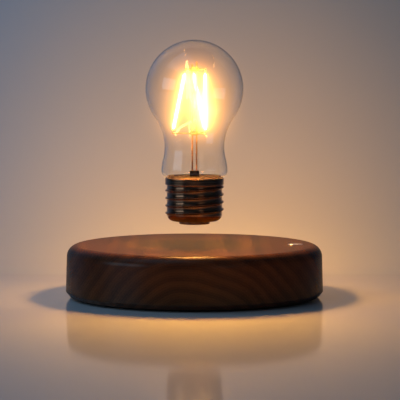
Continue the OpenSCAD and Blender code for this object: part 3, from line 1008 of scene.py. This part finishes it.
@dataclass(frozen=True)
class Paving:
    """The pale, lightly polished surface that the lamp stands on, with a painted shade that darkens it to a
    cool blue-grey away from the bulb.
    """

    colour: Colour = (0.80, 0.765, 0.725, 1.0)
    shade: Colour = (0.76, 0.725, 0.69, 1.0)
    # Painted shade: far is the cool blue-grey the surface fades to away from the bulb, standing in for the
    # bulb's warm light falling off; centre, reach and oval place and size that fade.
    far: Colour = (0.25, 0.36, 0.50, 1.0)
    centre: Triple = (0.01, 0.0, 0.045)
    reach: tuple[float, float] = (0.03, 0.25)
    oval: Triple = (0.85, 0.0, 1.0)
    rough: float = 0.085
    wall_rough: float = 0.85
    polish_low: float = 0.001
    polish_top: float = 0.60
    shine: float = 0.22

    def make(self, one_sided: bool) -> bpy.types.Material:
        """Builds the material. Its polish fades where it starts to rise, and its colour carries a painted
        shade away from the bulb.

        Args:
            one_sided: Whether its back lets everything through.

        Returns:
            The material.
        """
        bench = MaterialBench("pale_surface")
        where = bench.coords()
        _, _, height = bench.parts(where)
        colour = bench.mix(bench.mask(bench.noise(where, 3.0, 2.0), 0.3, 0.7), self.colour, self.shade)
        # Painted shade: the colour fades from pale to the cool blue-grey with distance from a point just
        # above the base, in place of the bulb's light falling off.
        away = bench.length(bench.stretched(self.oval, bench.vector("SUBTRACT", where, self.centre)))
        colour = bench.mix(bench.mask(away, *self.reach), colour, self.far)
        surface = bench.principled(
            {
                "Base Color": colour,
                "Roughness": bench.mask(
                    height, self.polish_low, self.polish_top, self.rough, self.wall_rough
                ),
                "Specular IOR Level": self.shine,
            }
        )
        if one_sided:
            behind = bench.add("NewGeometry").outputs["Backfacing"]
            clear = bench.add("BsdfTransparent").outputs[0]
            surface = bench.add("MixShader", {0: behind, 1: surface, 2: clear}).outputs[0]
        return bench.close(surface)


Finish = Walnut | Metal | Plastic | WoundCopper | CircuitBoard | BlownGlass | GlowingPhosphor


class Workshop:
    """Every finish, made once, by the record's material slot."""

    finishes: dict[str, Finish] = {
        "walnut": Walnut(),
        "touch_metal": Metal(
            "touch_metal", (0.83, 0.82, 0.80, 1.0), (0.95, 0.94, 0.92, 1.0), 0.24, axis_x=62.0 * MM
        ),
        "circuit_board": CircuitBoard(),
        "grey_sleeve": Plastic("grey_sleeve", (0.20, 0.21, 0.22, 1.0), 0.42),
        "black_plastic": Plastic("black_plastic", (0.018, 0.018, 0.020, 1.0), 0.55, depth=0.00005),
        "cap_plastic": Plastic(
            "cap_plastic", (0.009, 0.0042, 0.0028, 1.0), 0.66, dust=0.05, shine=0.06
        ),
        "screw_steel": Metal(
            "screw_steel", (0.42, 0.42, 0.43, 1.0), (0.62, 0.62, 0.62, 1.0), 0.34, turned=False
        ),
        "brass": Metal("turned_brass", (0.70, 0.48, 0.18, 1.0), (0.90, 0.68, 0.32, 1.0), 0.30),
        "foot_rubber": Plastic(
            "foot_rubber", (0.020, 0.020, 0.020, 1.0), 0.78, grain=2200.0, depth=0.00008
        ),
        "black_sleeve": Plastic("black_sleeve", (0.018, 0.018, 0.018, 1.0), 0.45),
        "white_plastic": Plastic("white_plastic", (0.70, 0.70, 0.67, 1.0), 0.48),
        "grey_plastic": Plastic("grey_plastic", (0.18, 0.19, 0.20, 1.0), 0.52),
        "ferrite": Plastic(
            "sintered_ferrite", (0.045, 0.045, 0.048, 1.0), 0.62, grain=1800.0, depth=0.0001
        ),
        "copper_wire": WoundCopper(),
        "red_sleeve": Plastic("red_sleeve", (0.42, 0.018, 0.014, 1.0), 0.40),
        "chip_black": Plastic(
            "chip_resin", (0.014, 0.014, 0.016, 1.0), 0.58, grain=2600.0, depth=0.00006
        ),
        "can_aluminium": Metal("can_aluminium", (0.60, 0.61, 0.63, 1.0), (0.80, 0.80, 0.80, 1.0), 0.32),
        "nickel": Metal("bright_nickel", (0.66, 0.63, 0.58, 1.0), (0.80, 0.76, 0.70, 1.0), 0.20),
        "clear_glass": BlownGlass(),
        "black_nickel": Metal(
            "black_nickel",
            (0.270, 0.125, 0.062, 1.0),
            (0.36, 0.21, 0.14, 1.0),
            0.17,
            wear=0.25,
            coat=0.30,
            line_depth=0.000006,
        ),
        "cement": Plastic(
            "cap_cement", (0.018, 0.0085, 0.0052, 1.0), 0.88, grain=1500.0, depth=0.00025
        ),
        "copper_rod": Metal(
            "drawn_copper", (0.50, 0.24, 0.13, 1.0), (0.80, 0.46, 0.28, 1.0), 0.30, turned=False
        ),
        "bead_glass": BlownGlass("pressed_bead", (0.80, 0.88, 0.84, 1.0), 0.00003, 0.03),
        "filament": GlowingPhosphor(),
    }

    def __init__(self) -> None:
        """Makes all finishes."""
        effects = Effects()
        self.slots = {slot: finish.make(effects) for slot, finish in self.finishes.items()}

    def dress(self, piece: bpy.types.Object, slot: str) -> None:
        """Gives a piece the finish of a slot."""
        piece.data.materials.clear()
        piece.data.materials.append(self.slots[slot])


# ---------------------------------------------------------------------------------------------
# Sub-assemblies
# ---------------------------------------------------------------------------------------------


def settle(
    piece: bpy.types.Object, body: Body, slot: str, shop: Workshop, *replaced: str
) -> bpy.types.Object:
    """Dresses a new piece and puts it in the part.

    Args:
        piece: The piece, in place.
        body: The body it moves with.
        slot: The record's material slot it takes its finish from.
        shop: The finishes.
        *replaced: The part's nodes it stands for.

    Returns:
        The piece.
    """
    shop.dress(piece, slot)
    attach(piece, body.value)
    if replaced:
        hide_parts(*replaced)
    log.info("%s: %d faces on %s", piece.name, len(piece.data.polygons), body.value)
    return piece


@dataclass
class WoodBase:
    """The walnut housing: a turned disc with a bevelled foot and a rounded top edge, hollow below."""

    radius: float = 79.0 * MM
    top: float = 32.5 * MM
    rim: float = 1.4 * MM
    bevel: tuple[float, float] = (2.3 * MM, 2.7 * MM)
    draft: float = 0.6 * MM
    edge_round: float = 7.0 * MM
    edge_run: float = 1.5 * MM
    ease: float = 0.5 * MM
    roof: float = 28.5 * MM
    pocket: float = 70.0 * MM
    rebate: tuple[float, float] = (72.2 * MM, 3.6 * MM)
    lobe_at: float = 68.0 * MM
    lobe_r: float = 5.5 * MM
    lobe_sink: float = 0.5 * MM
    insert_r: float = 2.3 * MM
    insert_top: float = 10.1 * MM
    pad_at: float = 62.0 * MM
    pad_hole: tuple[float, float] = (4.75 * MM, 1.5 * MM)
    pad_stem_hole: float = 1.6 * MM
    socket_z: float = 16.0 * MM
    socket_seat: float = 76.2 * MM
    socket_hole: tuple[float, float] = (7.3 * MM, 5.6 * MM)
    socket_reach: tuple[float, float] = (12 * MM, 20 * MM)
    flat_low: Triple = (-10 * MM, 62 * MM, 7 * MM)
    flat_high: Triple = (10 * MM, 72 * MM, 25 * MM)
    flat_round: float = 0.2 * MM
    over: float = 5 * MM
    segments: int = 256

    def outline(self) -> Profile:
        """The outline from the pocket's roof, out under the rim and up over the top.

        Returns:
            The points.
        """
        foot = self.radius - self.bevel[0]
        inner = self.radius - self.draft - self.edge_round
        edge_z = self.top - self.edge_round
        e = self.ease
        lean = math.degrees(math.atan2(self.bevel[1], self.bevel[0]))
        near = (self.radius - e, self.rim + self.bevel[1] + 0.5 * e)
        shape: Profile = [(0.0, self.roof)]
        shape += line((self.pocket * 0.2, self.roof), (self.pocket, self.roof), 4)
        shape += [(self.pocket, self.roof), (self.pocket, self.rebate[1]), self.rebate]
        shape += [(self.rebate[0], self.rim + 0.3 * e), (self.rebate[0] + 0.3 * e, self.rim)]
        shape += arc((foot - 0.4 * e, self.rim + e), e, -90, -90 + lean, 4)
        shape += arc(near, e, -90 + lean, 0, 4)
        shape += line((self.radius, near[1] + e), (self.radius - self.draft, edge_z), 8)
        shape += arc((inner, edge_z), self.edge_round, 0, 90, 20)
        shape += line((inner - self.edge_run, self.top), (0.0, self.top), 24)
        shape.append((0.0, self.top))
        return shape

    def _screw_lobes(self, piece: bpy.types.Object) -> None:
        """Joins on the lobes that hold the threaded inserts, and drills them.

        Args:
            piece: The housing.
        """
        height = self.roof - self.rebate[1]
        for k in range(4):
            turn = math.radians(45 + 90 * k)
            at = Vector((self.lobe_at * math.cos(turn), self.lobe_at * math.sin(turn), self.rebate[1]))
            cut(piece, drum(at, Axis.ALONG_Z, self.lobe_r, height + self.lobe_sink), join=True)
            below = at - Vector((0, 0, MM))
            cut(piece, drum(below, Axis.ALONG_Z, self.insert_r, self.insert_top - at.z + MM))

    def _openings(self, piece: bpy.types.Object) -> None:
        """Cuts the touch pad's seat and the socket's hole, and flattens the wall behind the socket.

        Args:
            piece: The housing.
        """
        pad = Vector((self.pad_at, 0.0, self.top - self.pad_hole[1]))
        cut(piece, drum(pad, Axis.ALONG_Z, self.pad_hole[0], self.over))
        stem = Vector((self.pad_at, 0.0, self.roof - self.over))
        cut(piece, drum(stem, Axis.ALONG_Z, self.pad_stem_hole, 2 * self.over))
        seat = Vector((0.0, self.socket_seat, self.socket_z))
        cut(piece, drum(seat, Axis.ALONG_Y, self.socket_hole[0], self.over))
        behind = seat - Vector((0, self.socket_reach[0], 0))
        cut(piece, drum(behind, Axis.ALONG_Y, self.socket_hole[1], self.socket_reach[1]))
        cut(piece, rounded_block(Vector(self.flat_low), Vector(self.flat_high), self.flat_round))

    def build(self, shop: Workshop) -> None:
        """Turns the disc, adds the screw lobes and cuts the openings.

        Args:
            shop: The finishes.
        """
        piece = new_object("walnut_housing", revolve(self.outline(), self.segments, closed=False))
        self._screw_lobes(piece)
        self._openings(piece)
        settle(piece, Body.BASE, "walnut", shop, "wood_housing")


@dataclass
class TouchPad:
    """The small bright touch pad, with a soft edge and a faint dish."""

    at: float = 62.0 * MM
    radius: float = 4.65 * MM
    top: float = 32.65 * MM
    seat: float = 31.0 * MM
    ease: float = 0.1 * MM
    stem_r: float = 1.5 * MM
    stem_end: float = 27.3 * MM
    edge: float = 0.25 * MM
    dish: float = 0.08 * MM
    dish_steps: tuple[float, ...] = (0.9, 0.7, 0.5, 0.3, 0.1)
    segments: int = 96

    def build(self, shop: Workshop) -> None:
        """Turns the pad and sets it in the wood.

        Args:
            shop: The finishes.
        """
        shape: Profile = [(0.0, self.stem_end), (self.stem_r, self.stem_end), (self.stem_r, self.seat)]
        shape += [(self.radius - self.ease, self.seat), (self.radius, self.seat + self.ease)]
        shape += arc((self.radius - self.edge, self.top - self.edge), self.edge, 0, 90, 6)
        shape += [(self.radius * s, self.top - self.dish * (1 - s * s)) for s in self.dish_steps]
        shape.append((0.0, self.top - self.dish))
        work = revolve(shape, self.segments, closed=False)
        bmesh.ops.translate(work, vec=(self.at, 0.0, 0.0), verts=work.verts)
        settle(new_object("touch_button", work), Body.BASE, "touch_metal", shop, "touch_pad")


@dataclass
class ScrewCap:
    """The dark screw cap: a thin shell with a right-hand thread, a collar, and a contact below."""

    tip: float = 45.2 * MM
    low: float = 47.0 * MM
    collar_low: float = 69.4 * MM
    collar_top: float = 73.5 * MM
    collar_r: float = 18.1 * MM
    collar_edge: float = 0.35 * MM
    root_r: float = 17.0 * MM
    wall: float = 0.8 * MM
    round_r: float = 4.3 * MM
    pitch: float = 4.59 * MM
    crest: float = 1.0 * MM
    crest_half: float = 1.05 * MM
    crest_flank: float = 0.75 * MM
    swell: float = 0.16
    fade: float = 0.14
    thread_zero: float = 58.795 * MM
    thread_low: float = 49.6 * MM
    thread_high: float = 69.1 * MM
    button_r: float = 9.6 * MM
    button_edge: float = 0.9 * MM
    button_stem: tuple[float, float] = (2.5 * MM, 49.0 * MM)
    segments: int = 224
    button_segments: int = 128
    rows: int = 210
    sharp_deg: float = 50.0

    def ridge(self, turn: float, height: float) -> float:
        """How far the thread stands out at a place on the wall.

        Args:
            turn: The angle about the axis in radians.
            height: The height above the table.

        Returns:
            The extra radius.
        """
        turns = turn / (2 * math.pi)
        along = (height - self.thread_zero) / self.pitch - turns
        crest_z = self.thread_zero + self.pitch * (round(along) + turns)
        away = abs(height - crest_z)
        shape = unit((self.crest_half - away) / self.crest_flank)
        shape = shape * shape * (3 - 2 * shape)
        swell = 0.5 + 0.5 * math.cos(2 * math.pi * away / self.pitch)
        shape = (1 - self.swell) * shape + self.swell * swell
        fade = self.pitch * self.fade
        start = unit((crest_z - self.thread_low) / fade)
        end = unit((self.thread_high - crest_z) / fade)
        return self.crest * shape * start * end

    def outline(self) -> tuple[Profile, range]:
        """The shell's closed outline.

        Returns:
            The points, and the numbers of those that carry the thread.
        """
        corner = (self.root_r - self.round_r, self.low + self.round_r)
        e = self.collar_edge
        shape: Profile = [(corner[0], self.low + self.wall), (corner[0], self.low)]
        first = len(shape)
        shape += arc(corner, self.round_r, -86, 0, 28)
        wall_top = (self.root_r, self.collar_low - 0.3 * MM)
        shape += line((self.root_r, corner[1] + 0.1 * MM), wall_top, self.rows)
        last = len(shape)
        shape += [(self.root_r, self.collar_low - 0.25 * MM), (self.root_r + 0.15 * MM, self.collar_low)]
        shape += arc((self.collar_r - e, self.collar_low + e), e, -90, 0, 4)
        waist = (self.collar_r - 0.06 * MM, self.collar_low + 1.6 * MM)
        shape += line(waist, (self.collar_r, self.collar_top - 1.2 * MM), 3)
        shape += arc((self.collar_r - e, self.collar_top - e), e, 0, 90, 5)
        inner = self.collar_r - self.wall
        shape += [(inner, self.collar_top), (inner, self.collar_low + self.wall)]
        shape += [(self.root_r - self.wall, self.collar_low), (self.root_r - self.wall, corner[1])]
        shape += arc(corner, self.round_r - self.wall, 0, -90, 10)[1:-1]
        return shape, range(first, last)

    def contact(self) -> Profile:
        """The contact's outline, from its dimpled face round to the end of its stem.

        Returns:
            The points.
        """
        flat = self.button_r - self.button_edge
        face: Profile = [(0.0, self.tip + 0.12 * MM)]
        face += [(2.0 * MM, self.tip + 0.10 * MM), (4.0 * MM, self.tip + 0.02 * MM), (5.2 * MM, self.tip)]
        face += line((6.0 * MM, self.tip), (flat, self.tip), 3)
        face += arc((flat, self.tip + self.button_edge), self.button_edge, -90, 0, 8)
        face += [(self.button_r, self.low), (self.button_stem[0], self.low), self.button_stem]
        face.append((0.0, self.button_stem[1]))
        return face

    def build(self, shop: Workshop) -> None:
        """Turns the threaded shell and the contact.

        Args:
            shop: The finishes.
        """
        shape, threaded = self.outline()

        def lift(number: int, turn: float, height: float) -> float:
            """The thread, on the wall only."""
            return self.ridge(turn, height) if number in threaded else 0.0

        shell = new_object("threaded_cap", revolve(shape, self.segments, lift), self.sharp_deg)
        settle(shell, Body.BULB, "black_nickel", shop, "screw_shell", "shell_thread")
        face = revolve(self.contact(), self.button_segments, closed=False)
        contact = new_object("end_contact", face)
        settle(contact, Body.BULB, "black_nickel", shop, "contact_button")


@dataclass
class GlassBulb:
    """The clear globe with its waist and the bulge over the collar, blown in one thin wall."""

    globe_r: float = 30.0 * MM
    globe_z: float = 128.0 * MM
    waist_r: float = 18.4 * MM
    waist_z: float = 92.4 * MM
    bulge_r: float = 20.3 * MM
    bulge_z: float = 77.6 * MM
    shoulder: float = 4.0 * MM
    neck_r: float = 16.0 * MM
    neck_low: float = 64.0 * MM
    neck_gap: float = 0.3 * MM
    wall: float = 0.6 * MM
    segments: int = 192
    sharp_deg: float = 60.0

    def skin(self, inset: float) -> Profile:
        """One side of the wall, from the neck's end up to the crown.

        Args:
            inset: How far inside the outer side it lies.

        Returns:
            The points.
        """
        drop = self.globe_z - self.waist_z
        waist_arc = (self.waist_r**2 + drop**2 - self.globe_r**2) / (2 * (self.globe_r - self.waist_r))
        waist_at = Vector((self.waist_r + waist_arc, self.waist_z))
        rise = self.waist_z - self.bulge_z
        reach = waist_at.x - self.bulge_r
        bulge_arc = (reach**2 + rise**2 - waist_arc**2) / (2 * (waist_arc - reach))
        bulge_at = Vector((self.bulge_r - bulge_arc, self.bulge_z))
        globe_at = Vector((0.0, self.globe_z))
        to_bulge = bulge_at - waist_at
        to_globe = globe_at - waist_at
        lower = math.degrees(math.atan2(to_bulge.y, to_bulge.x)) % 360
        upper = math.degrees(math.atan2(to_globe.y, to_globe.x)) % 360
        bend = self.shoulder - inset
        neck = self.neck_r - inset
        shape: Profile = line((neck, self.neck_low), (neck, self.bulge_z - bend - self.neck_gap), 4)
        shape += arc((self.bulge_r - self.shoulder, self.bulge_z), bend, -88, 0, 12)
        shape += arc(tuple(bulge_at), bulge_arc - inset, 0.5, lower - 180, 10)[1:-1]
        shape += arc(tuple(waist_at), waist_arc + inset, lower, upper, 26)
        shape += arc(tuple(globe_at), self.globe_r - inset, upper - 180, 89, 64)[1:]
        shape.append((0.0, self.globe_z + self.globe_r - inset))
        return shape

    def build(self, shop: Workshop) -> None:
        """Turns both sides of the wall into one closed shell.

        Args:
            shop: The finishes.
        """
        shape = list(reversed(self.skin(self.wall))) + self.skin(0.0)
        work = revolve(shape, self.segments, closed=False)
        piece = new_object("blown_bulb", work, self.sharp_deg)
        settle(piece, Body.BULB, "clear_glass", shop, "glass_globe")


@dataclass
class FilamentFrame:
    """The three lit filaments, twisted about two copper rods that stand in a dark socket."""

    foot_r: float = 13.4 * MM
    head_r: float = 7.0 * MM
    foot_z: float = 101.37 * MM
    head_z: float = 139.63 * MM
    twist: float = 39.0
    first: float = 180.0
    apart: float = 120.0
    thick: tuple[float, float] = (1.0 * MM, 0.86 * MM)
    ends: float = 0.08
    uneven: float = 0.05
    steps: int = 30
    sides: int = 14
    sharp_deg: float = 80.0
    block: Triple = (5.9 * MM, 4.2 * MM, 4.4 * MM)
    block_z: float = 73.5 * MM
    block_round: float = 0.3 * MM
    rod_x: float = 1.3 * MM
    rod_hole: tuple[float, float] = (0.56 * MM, 8 * MM)
    hole_sides: int = 24
    seed: int = 7
    names: tuple[str, ...] = ("filament_left", "filament_right", "filament_rear")

    def strip(self, number: int) -> bpy.types.Object:
        """One filament: a coated strip with soft ends and a slightly uneven coat.

        Args:
            number: Which one it is, from 0.

        Returns:
            The piece.
        """
        draw = random.Random(self.seed + number)
        turn = math.radians(self.first + self.apart * number)
        top = turn + math.radians(self.twist)
        foot = Vector((self.foot_r * math.cos(turn), self.foot_r * math.sin(turn), self.foot_z))
        head = Vector((self.head_r * math.cos(top), self.head_r * math.sin(top), self.head_z))
        run = head - foot
        over = self.thick[0] / run.length
        low, high = self.ends - over, 1 - self.ends + over
        path, radii = [], []
        for i in range(self.steps + 1):
            share = low + (high - low) * i / self.steps
            path.append(foot + run * share)
            near = min(share - low, high - share) / over
            cap = math.sqrt(max(0.02, 1 - (1 - min(1.0, near)) ** 2))
            lump = 1 - self.uneven * draw.random()
            radii.append((self.thick[0] * cap * lump, self.thick[1] * cap * lump))
        work = tube(path, radii, self.sides)
        return new_object(self.names[number] + "_lit", work, self.sharp_deg)

    def build(self, shop: Workshop) -> None:
        """Makes the filaments and the socket block.

        Args:
            shop: The finishes.
        """
        for number, node in enumerate(self.names):
            settle(self.strip(number), Body.BULB, "filament", shop, node)
        half = Vector((self.block[0] / 2, self.block[1] / 2, 0.0))
        low = Vector((-half.x, -half.y, self.block_z))
        high = Vector((half.x, half.y, self.block_z + self.block[2]))
        socket = new_object("rod_socket", rounded_block(low, high, self.block_round))
        for side in (-1, 1):
            hole = Vector((side * self.rod_x, 0, self.block_z - MM))
            cut(socket, drum(hole, Axis.ALONG_Z, *self.rod_hole, self.hole_sides))
        settle(socket, Body.BULB, "cap_plastic", shop, "stem_socket")


@dataclass
class CarriedNodes:
    """The part's own nodes that are shown as they are, dressed by their slots."""

    record: dict
    nodes: dict[str, bpy.types.Object]

    def dress(self, shop: Workshop) -> None:
        """Gives every node of the part the finish of its slot.

        Args:
            shop: The finishes.
        """
        slot_of = {s["node"]: s["material_slot"] for s in self.record["subparts"]}
        for name, node in self.nodes.items():
            shop.dress(node, slot_of[name])
            node.data.shade_smooth()
            log.info("%s: dressed in %s", name, slot_of[name])


@dataclass(frozen=True)
class SoftLamp:
    """A soft area light that the camera doesn't see."""

    name: str
    at: Triple
    target: Triple
    size: tuple[float, float]
    watts: float
    colour: Triple
    mirrored: bool = True
    spread_deg: float = 180.0

    def hang(self) -> bpy.types.Object:
        """Hangs the light. Shiny pieces and glass show it only if it is mirrored.

        Returns:
            The light.
        """
        lamp = bpy.data.lights.new(self.name, "AREA")
        lamp.shape = "RECTANGLE" if self.mirrored else "ELLIPSE"
        lamp.size, lamp.size_y = self.size
        lamp.energy = self.watts
        lamp.color = self.colour
        lamp.spread = math.radians(self.spread_deg)
        holder = bpy.data.objects.new(self.name, lamp)
        holder.location = self.at
        aim = Vector(self.target) - Vector(self.at)
        holder.rotation_mode = "QUATERNION"
        holder.rotation_quaternion = aim.to_track_quat("-Z", "Y")
        holder.visible_camera = False
        holder.visible_glossy = self.mirrored
        holder.visible_transmission = self.mirrored
        bpy.context.scene.collection.objects.link(holder)
        return holder


@dataclass
class Studio:
    """A pale floor and sweep, soft cool light, warm light round the bulb, and the camera."""

    distance: float = 1.400
    height: float = 0.170
    aside: float = 0.0034
    pitch_deg: float = 4.50
    lens: float = 205.9
    sensor: float = 36.0
    clip_end: float = 100.0
    floor_half: float = 6.0
    wall_y: float = 0.50
    wall_half: float = 4.0
    wall_top: float = 3.0
    cove: float = 0.38
    cove_steps: int = 64
    lead: float = 0.03
    lift: float = 0.0001
    sky: Colour = (0.34, 0.62, 1.0, 1.0)
    sky_strength: float = 0.055
    middle: Triple = (0.0, 0.0, 0.07)
    blooms: tuple[tuple[float, float], ...] = ((0.14, 1.0), (0.14, 1.0), (0.14, 0.7))
    bloom_tint: Colour = (1.0, 0.92, 0.60, 1.0)
    bloom_from: float = 1.5
    bloom_smooth: float = 0.1

    def rows(self) -> Profile:
        """The sweep's side view: a flat start, the rounded cove and the wall.

        Returns:
            Points as (back, up).
        """
        start = self.wall_y - self.cove
        turns = [math.pi / 2 * k / self.cove_steps for k in range(1, self.cove_steps + 1)]
        rows = [(start - self.lead, self.lift), (start, self.lift)]
        rows += [
            (start + self.cove * math.sin(turn), self.lift + self.cove * (1 - math.cos(turn)))
            for turn in turns
        ]
        return rows + [(self.wall_y, self.wall_top)]

    def floor(self) -> None:
        """Lays the floor and stands a one-sided sweep behind it."""
        work = bmesh.new()
        bmesh.ops.create_grid(work, x_segments=24, y_segments=24, size=self.floor_half)
        flat = new_object("studio_floor", work)
        flat.data.materials.append(Paving().make(one_sided=False))
        work = bmesh.new()
        sides = (-self.wall_half, self.wall_half)
        verts = [[work.verts.new((x, y, z)) for x in sides] for y, z in self.rows()]
        for low, high in zip(verts, verts[1:]):
            work.faces.new((low[0], low[1], high[1], high[0]))
        sweep = place_mesh("studio_sweep", work)
        sweep.data.materials.append(Paving().make(one_sided=True))

    def room_lamps(self) -> tuple[SoftLamp, ...]:
        """The window on the left, the dim room on the right and the ceiling.

        Returns:
            The lights.
        """
        return (
            SoftLamp(
                "window_left", (-1.15, -0.55, 0.36), self.middle, (0.80, 0.50), 1.8, (0.55, 0.77, 1.0)
            ),
            SoftLamp("fill_right", (0.75, -1.5, 0.5), self.middle, (0.5, 0.5), 0.4, (1.0, 0.84, 0.70)),
            SoftLamp("over_head", (-0.6, -0.3, 1.3), self.middle, (1.0, 1.0), 1.7, (0.45, 0.68, 1.0)),
        )

    def bulb_lamps(self) -> tuple[SoftLamp, ...]:
        """The bulb's glow on the base: one light inside the bulb and one under the cap.

        Returns:
            The lights.
        """
        inside, ahead = (0.0, 0.0, 0.095), (0.0, -0.22, 0.0)
        under, down = (0.0, 0.0, 0.044), (0.0, 0.0, 0.0)
        return (
            SoftLamp(
                "bulb_spill", inside, ahead, (0.026, 0.016), 0.15, (1.0, 0.47, 0.03), False, 86.0
            ),
            SoftLamp("gap_glow", under, down, (0.09, 0.09), 0.065, (1.0, 0.74, 0.05), False),
        )

    def rear_lamps(self) -> tuple[SoftLamp, ...]:
        """The bulb's warm glow on the sweep, and a cool wash up to its left.

        Returns:
            The lights.
        """
        behind, up = (0.008, 0.082, 0.085), (0.008, 0.40, 0.15)
        beside, wall = (-0.55, 0.05, 0.50), (-0.20, 0.50, 0.24)
        return (
            SoftLamp("back_glow", behind, up, (0.055, 0.045), 0.29, (1.0, 0.48, 0.03), False),
            SoftLamp("wall_wash", beside, wall, (0.25, 0.25), 0.85, (0.30, 0.62, 1.0), False),
        )

    def lights(self) -> None:
        """Sets the room's light: cool, soft and low, so that the bulb's own light shows."""
        world = bpy.data.worlds.new("soft_room")
        world.use_nodes = True
        bench = Bench(world.node_tree)
        out = bench.add("OutputWorld")
        sky = bench.add("Background", {"Color": self.sky, "Strength": self.sky_strength})
        bench.feed(out.inputs["Surface"], sky.outputs[0])
        bpy.context.scene.world = world
        for lamp in self.room_lamps():
            lamp.hang()
        for lamp in self.bulb_lamps():
            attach(lamp.hang(), Body.BULB.value)
        for lamp in self.rear_lamps():
            lamp.hang()

    def camera(self) -> None:
        """Stands the camera in front of the lamp, a little above it, with a long lens."""
        eye = bpy.data.cameras.new("studio_camera")
        eye.lens = self.lens
        eye.sensor_width = self.sensor
        eye.clip_end = self.clip_end
        holder = bpy.data.objects.new("studio_camera", eye)
        holder.location = (self.aside, -self.distance, self.height)
        holder.rotation_euler = (math.radians(90 - self.pitch_deg), 0.0, 0.0)
        bpy.context.scene.collection.objects.link(holder)
        bpy.context.scene.camera = holder

    def develop(self) -> None:
        """Keeps the render's tones plain and lets the brightest parts bloom a little."""
        scene = bpy.context.scene
        scene.view_settings.view_transform = "Standard"
        scene.use_nodes = True
        tree = scene.node_tree
        tree.nodes.clear()
        image = tree.nodes.new("CompositorNodeRLayers").outputs["Image"]
        shared = {"Tint": self.bloom_tint, "Threshold": self.bloom_from, "Smoothness": self.bloom_smooth}
        for size, strength in self.blooms:
            bloom = tree.nodes.new("CompositorNodeGlare")
            bloom.glare_type = "BLOOM"
            for key, value in {**shared, "Strength": strength, "Size": size}.items():
                bloom.inputs[key].default_value = value
            tree.links.new(image, bloom.inputs["Image"])
            image = bloom.outputs["Image"]
        last = tree.nodes.new("CompositorNodeComposite")
        tree.links.new(image, last.inputs["Image"])

    def build(self) -> None:
        """Sets up the whole studio."""
        self.develop()
        self.camera()
        self.floor()
        self.lights()


def main() -> None:
    """Builds the lamp's sub-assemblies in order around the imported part."""
    logging.basicConfig(level=logging.INFO, format="%(name)s: %(message)s")
    bpy.ops.object.select_all(action="SELECT")
    bpy.ops.object.delete()
    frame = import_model()
    shop = Workshop()
    CarriedNodes(frame["record"], frame["nodes"]).dress(shop)
    WoodBase().build(shop)
    TouchPad().build(shop)
    ScrewCap().build(shop)
    GlassBulb().build(shop)
    FilamentFrame().build(shop)
    Studio().build()


if __name__ == "__main__":
    main()
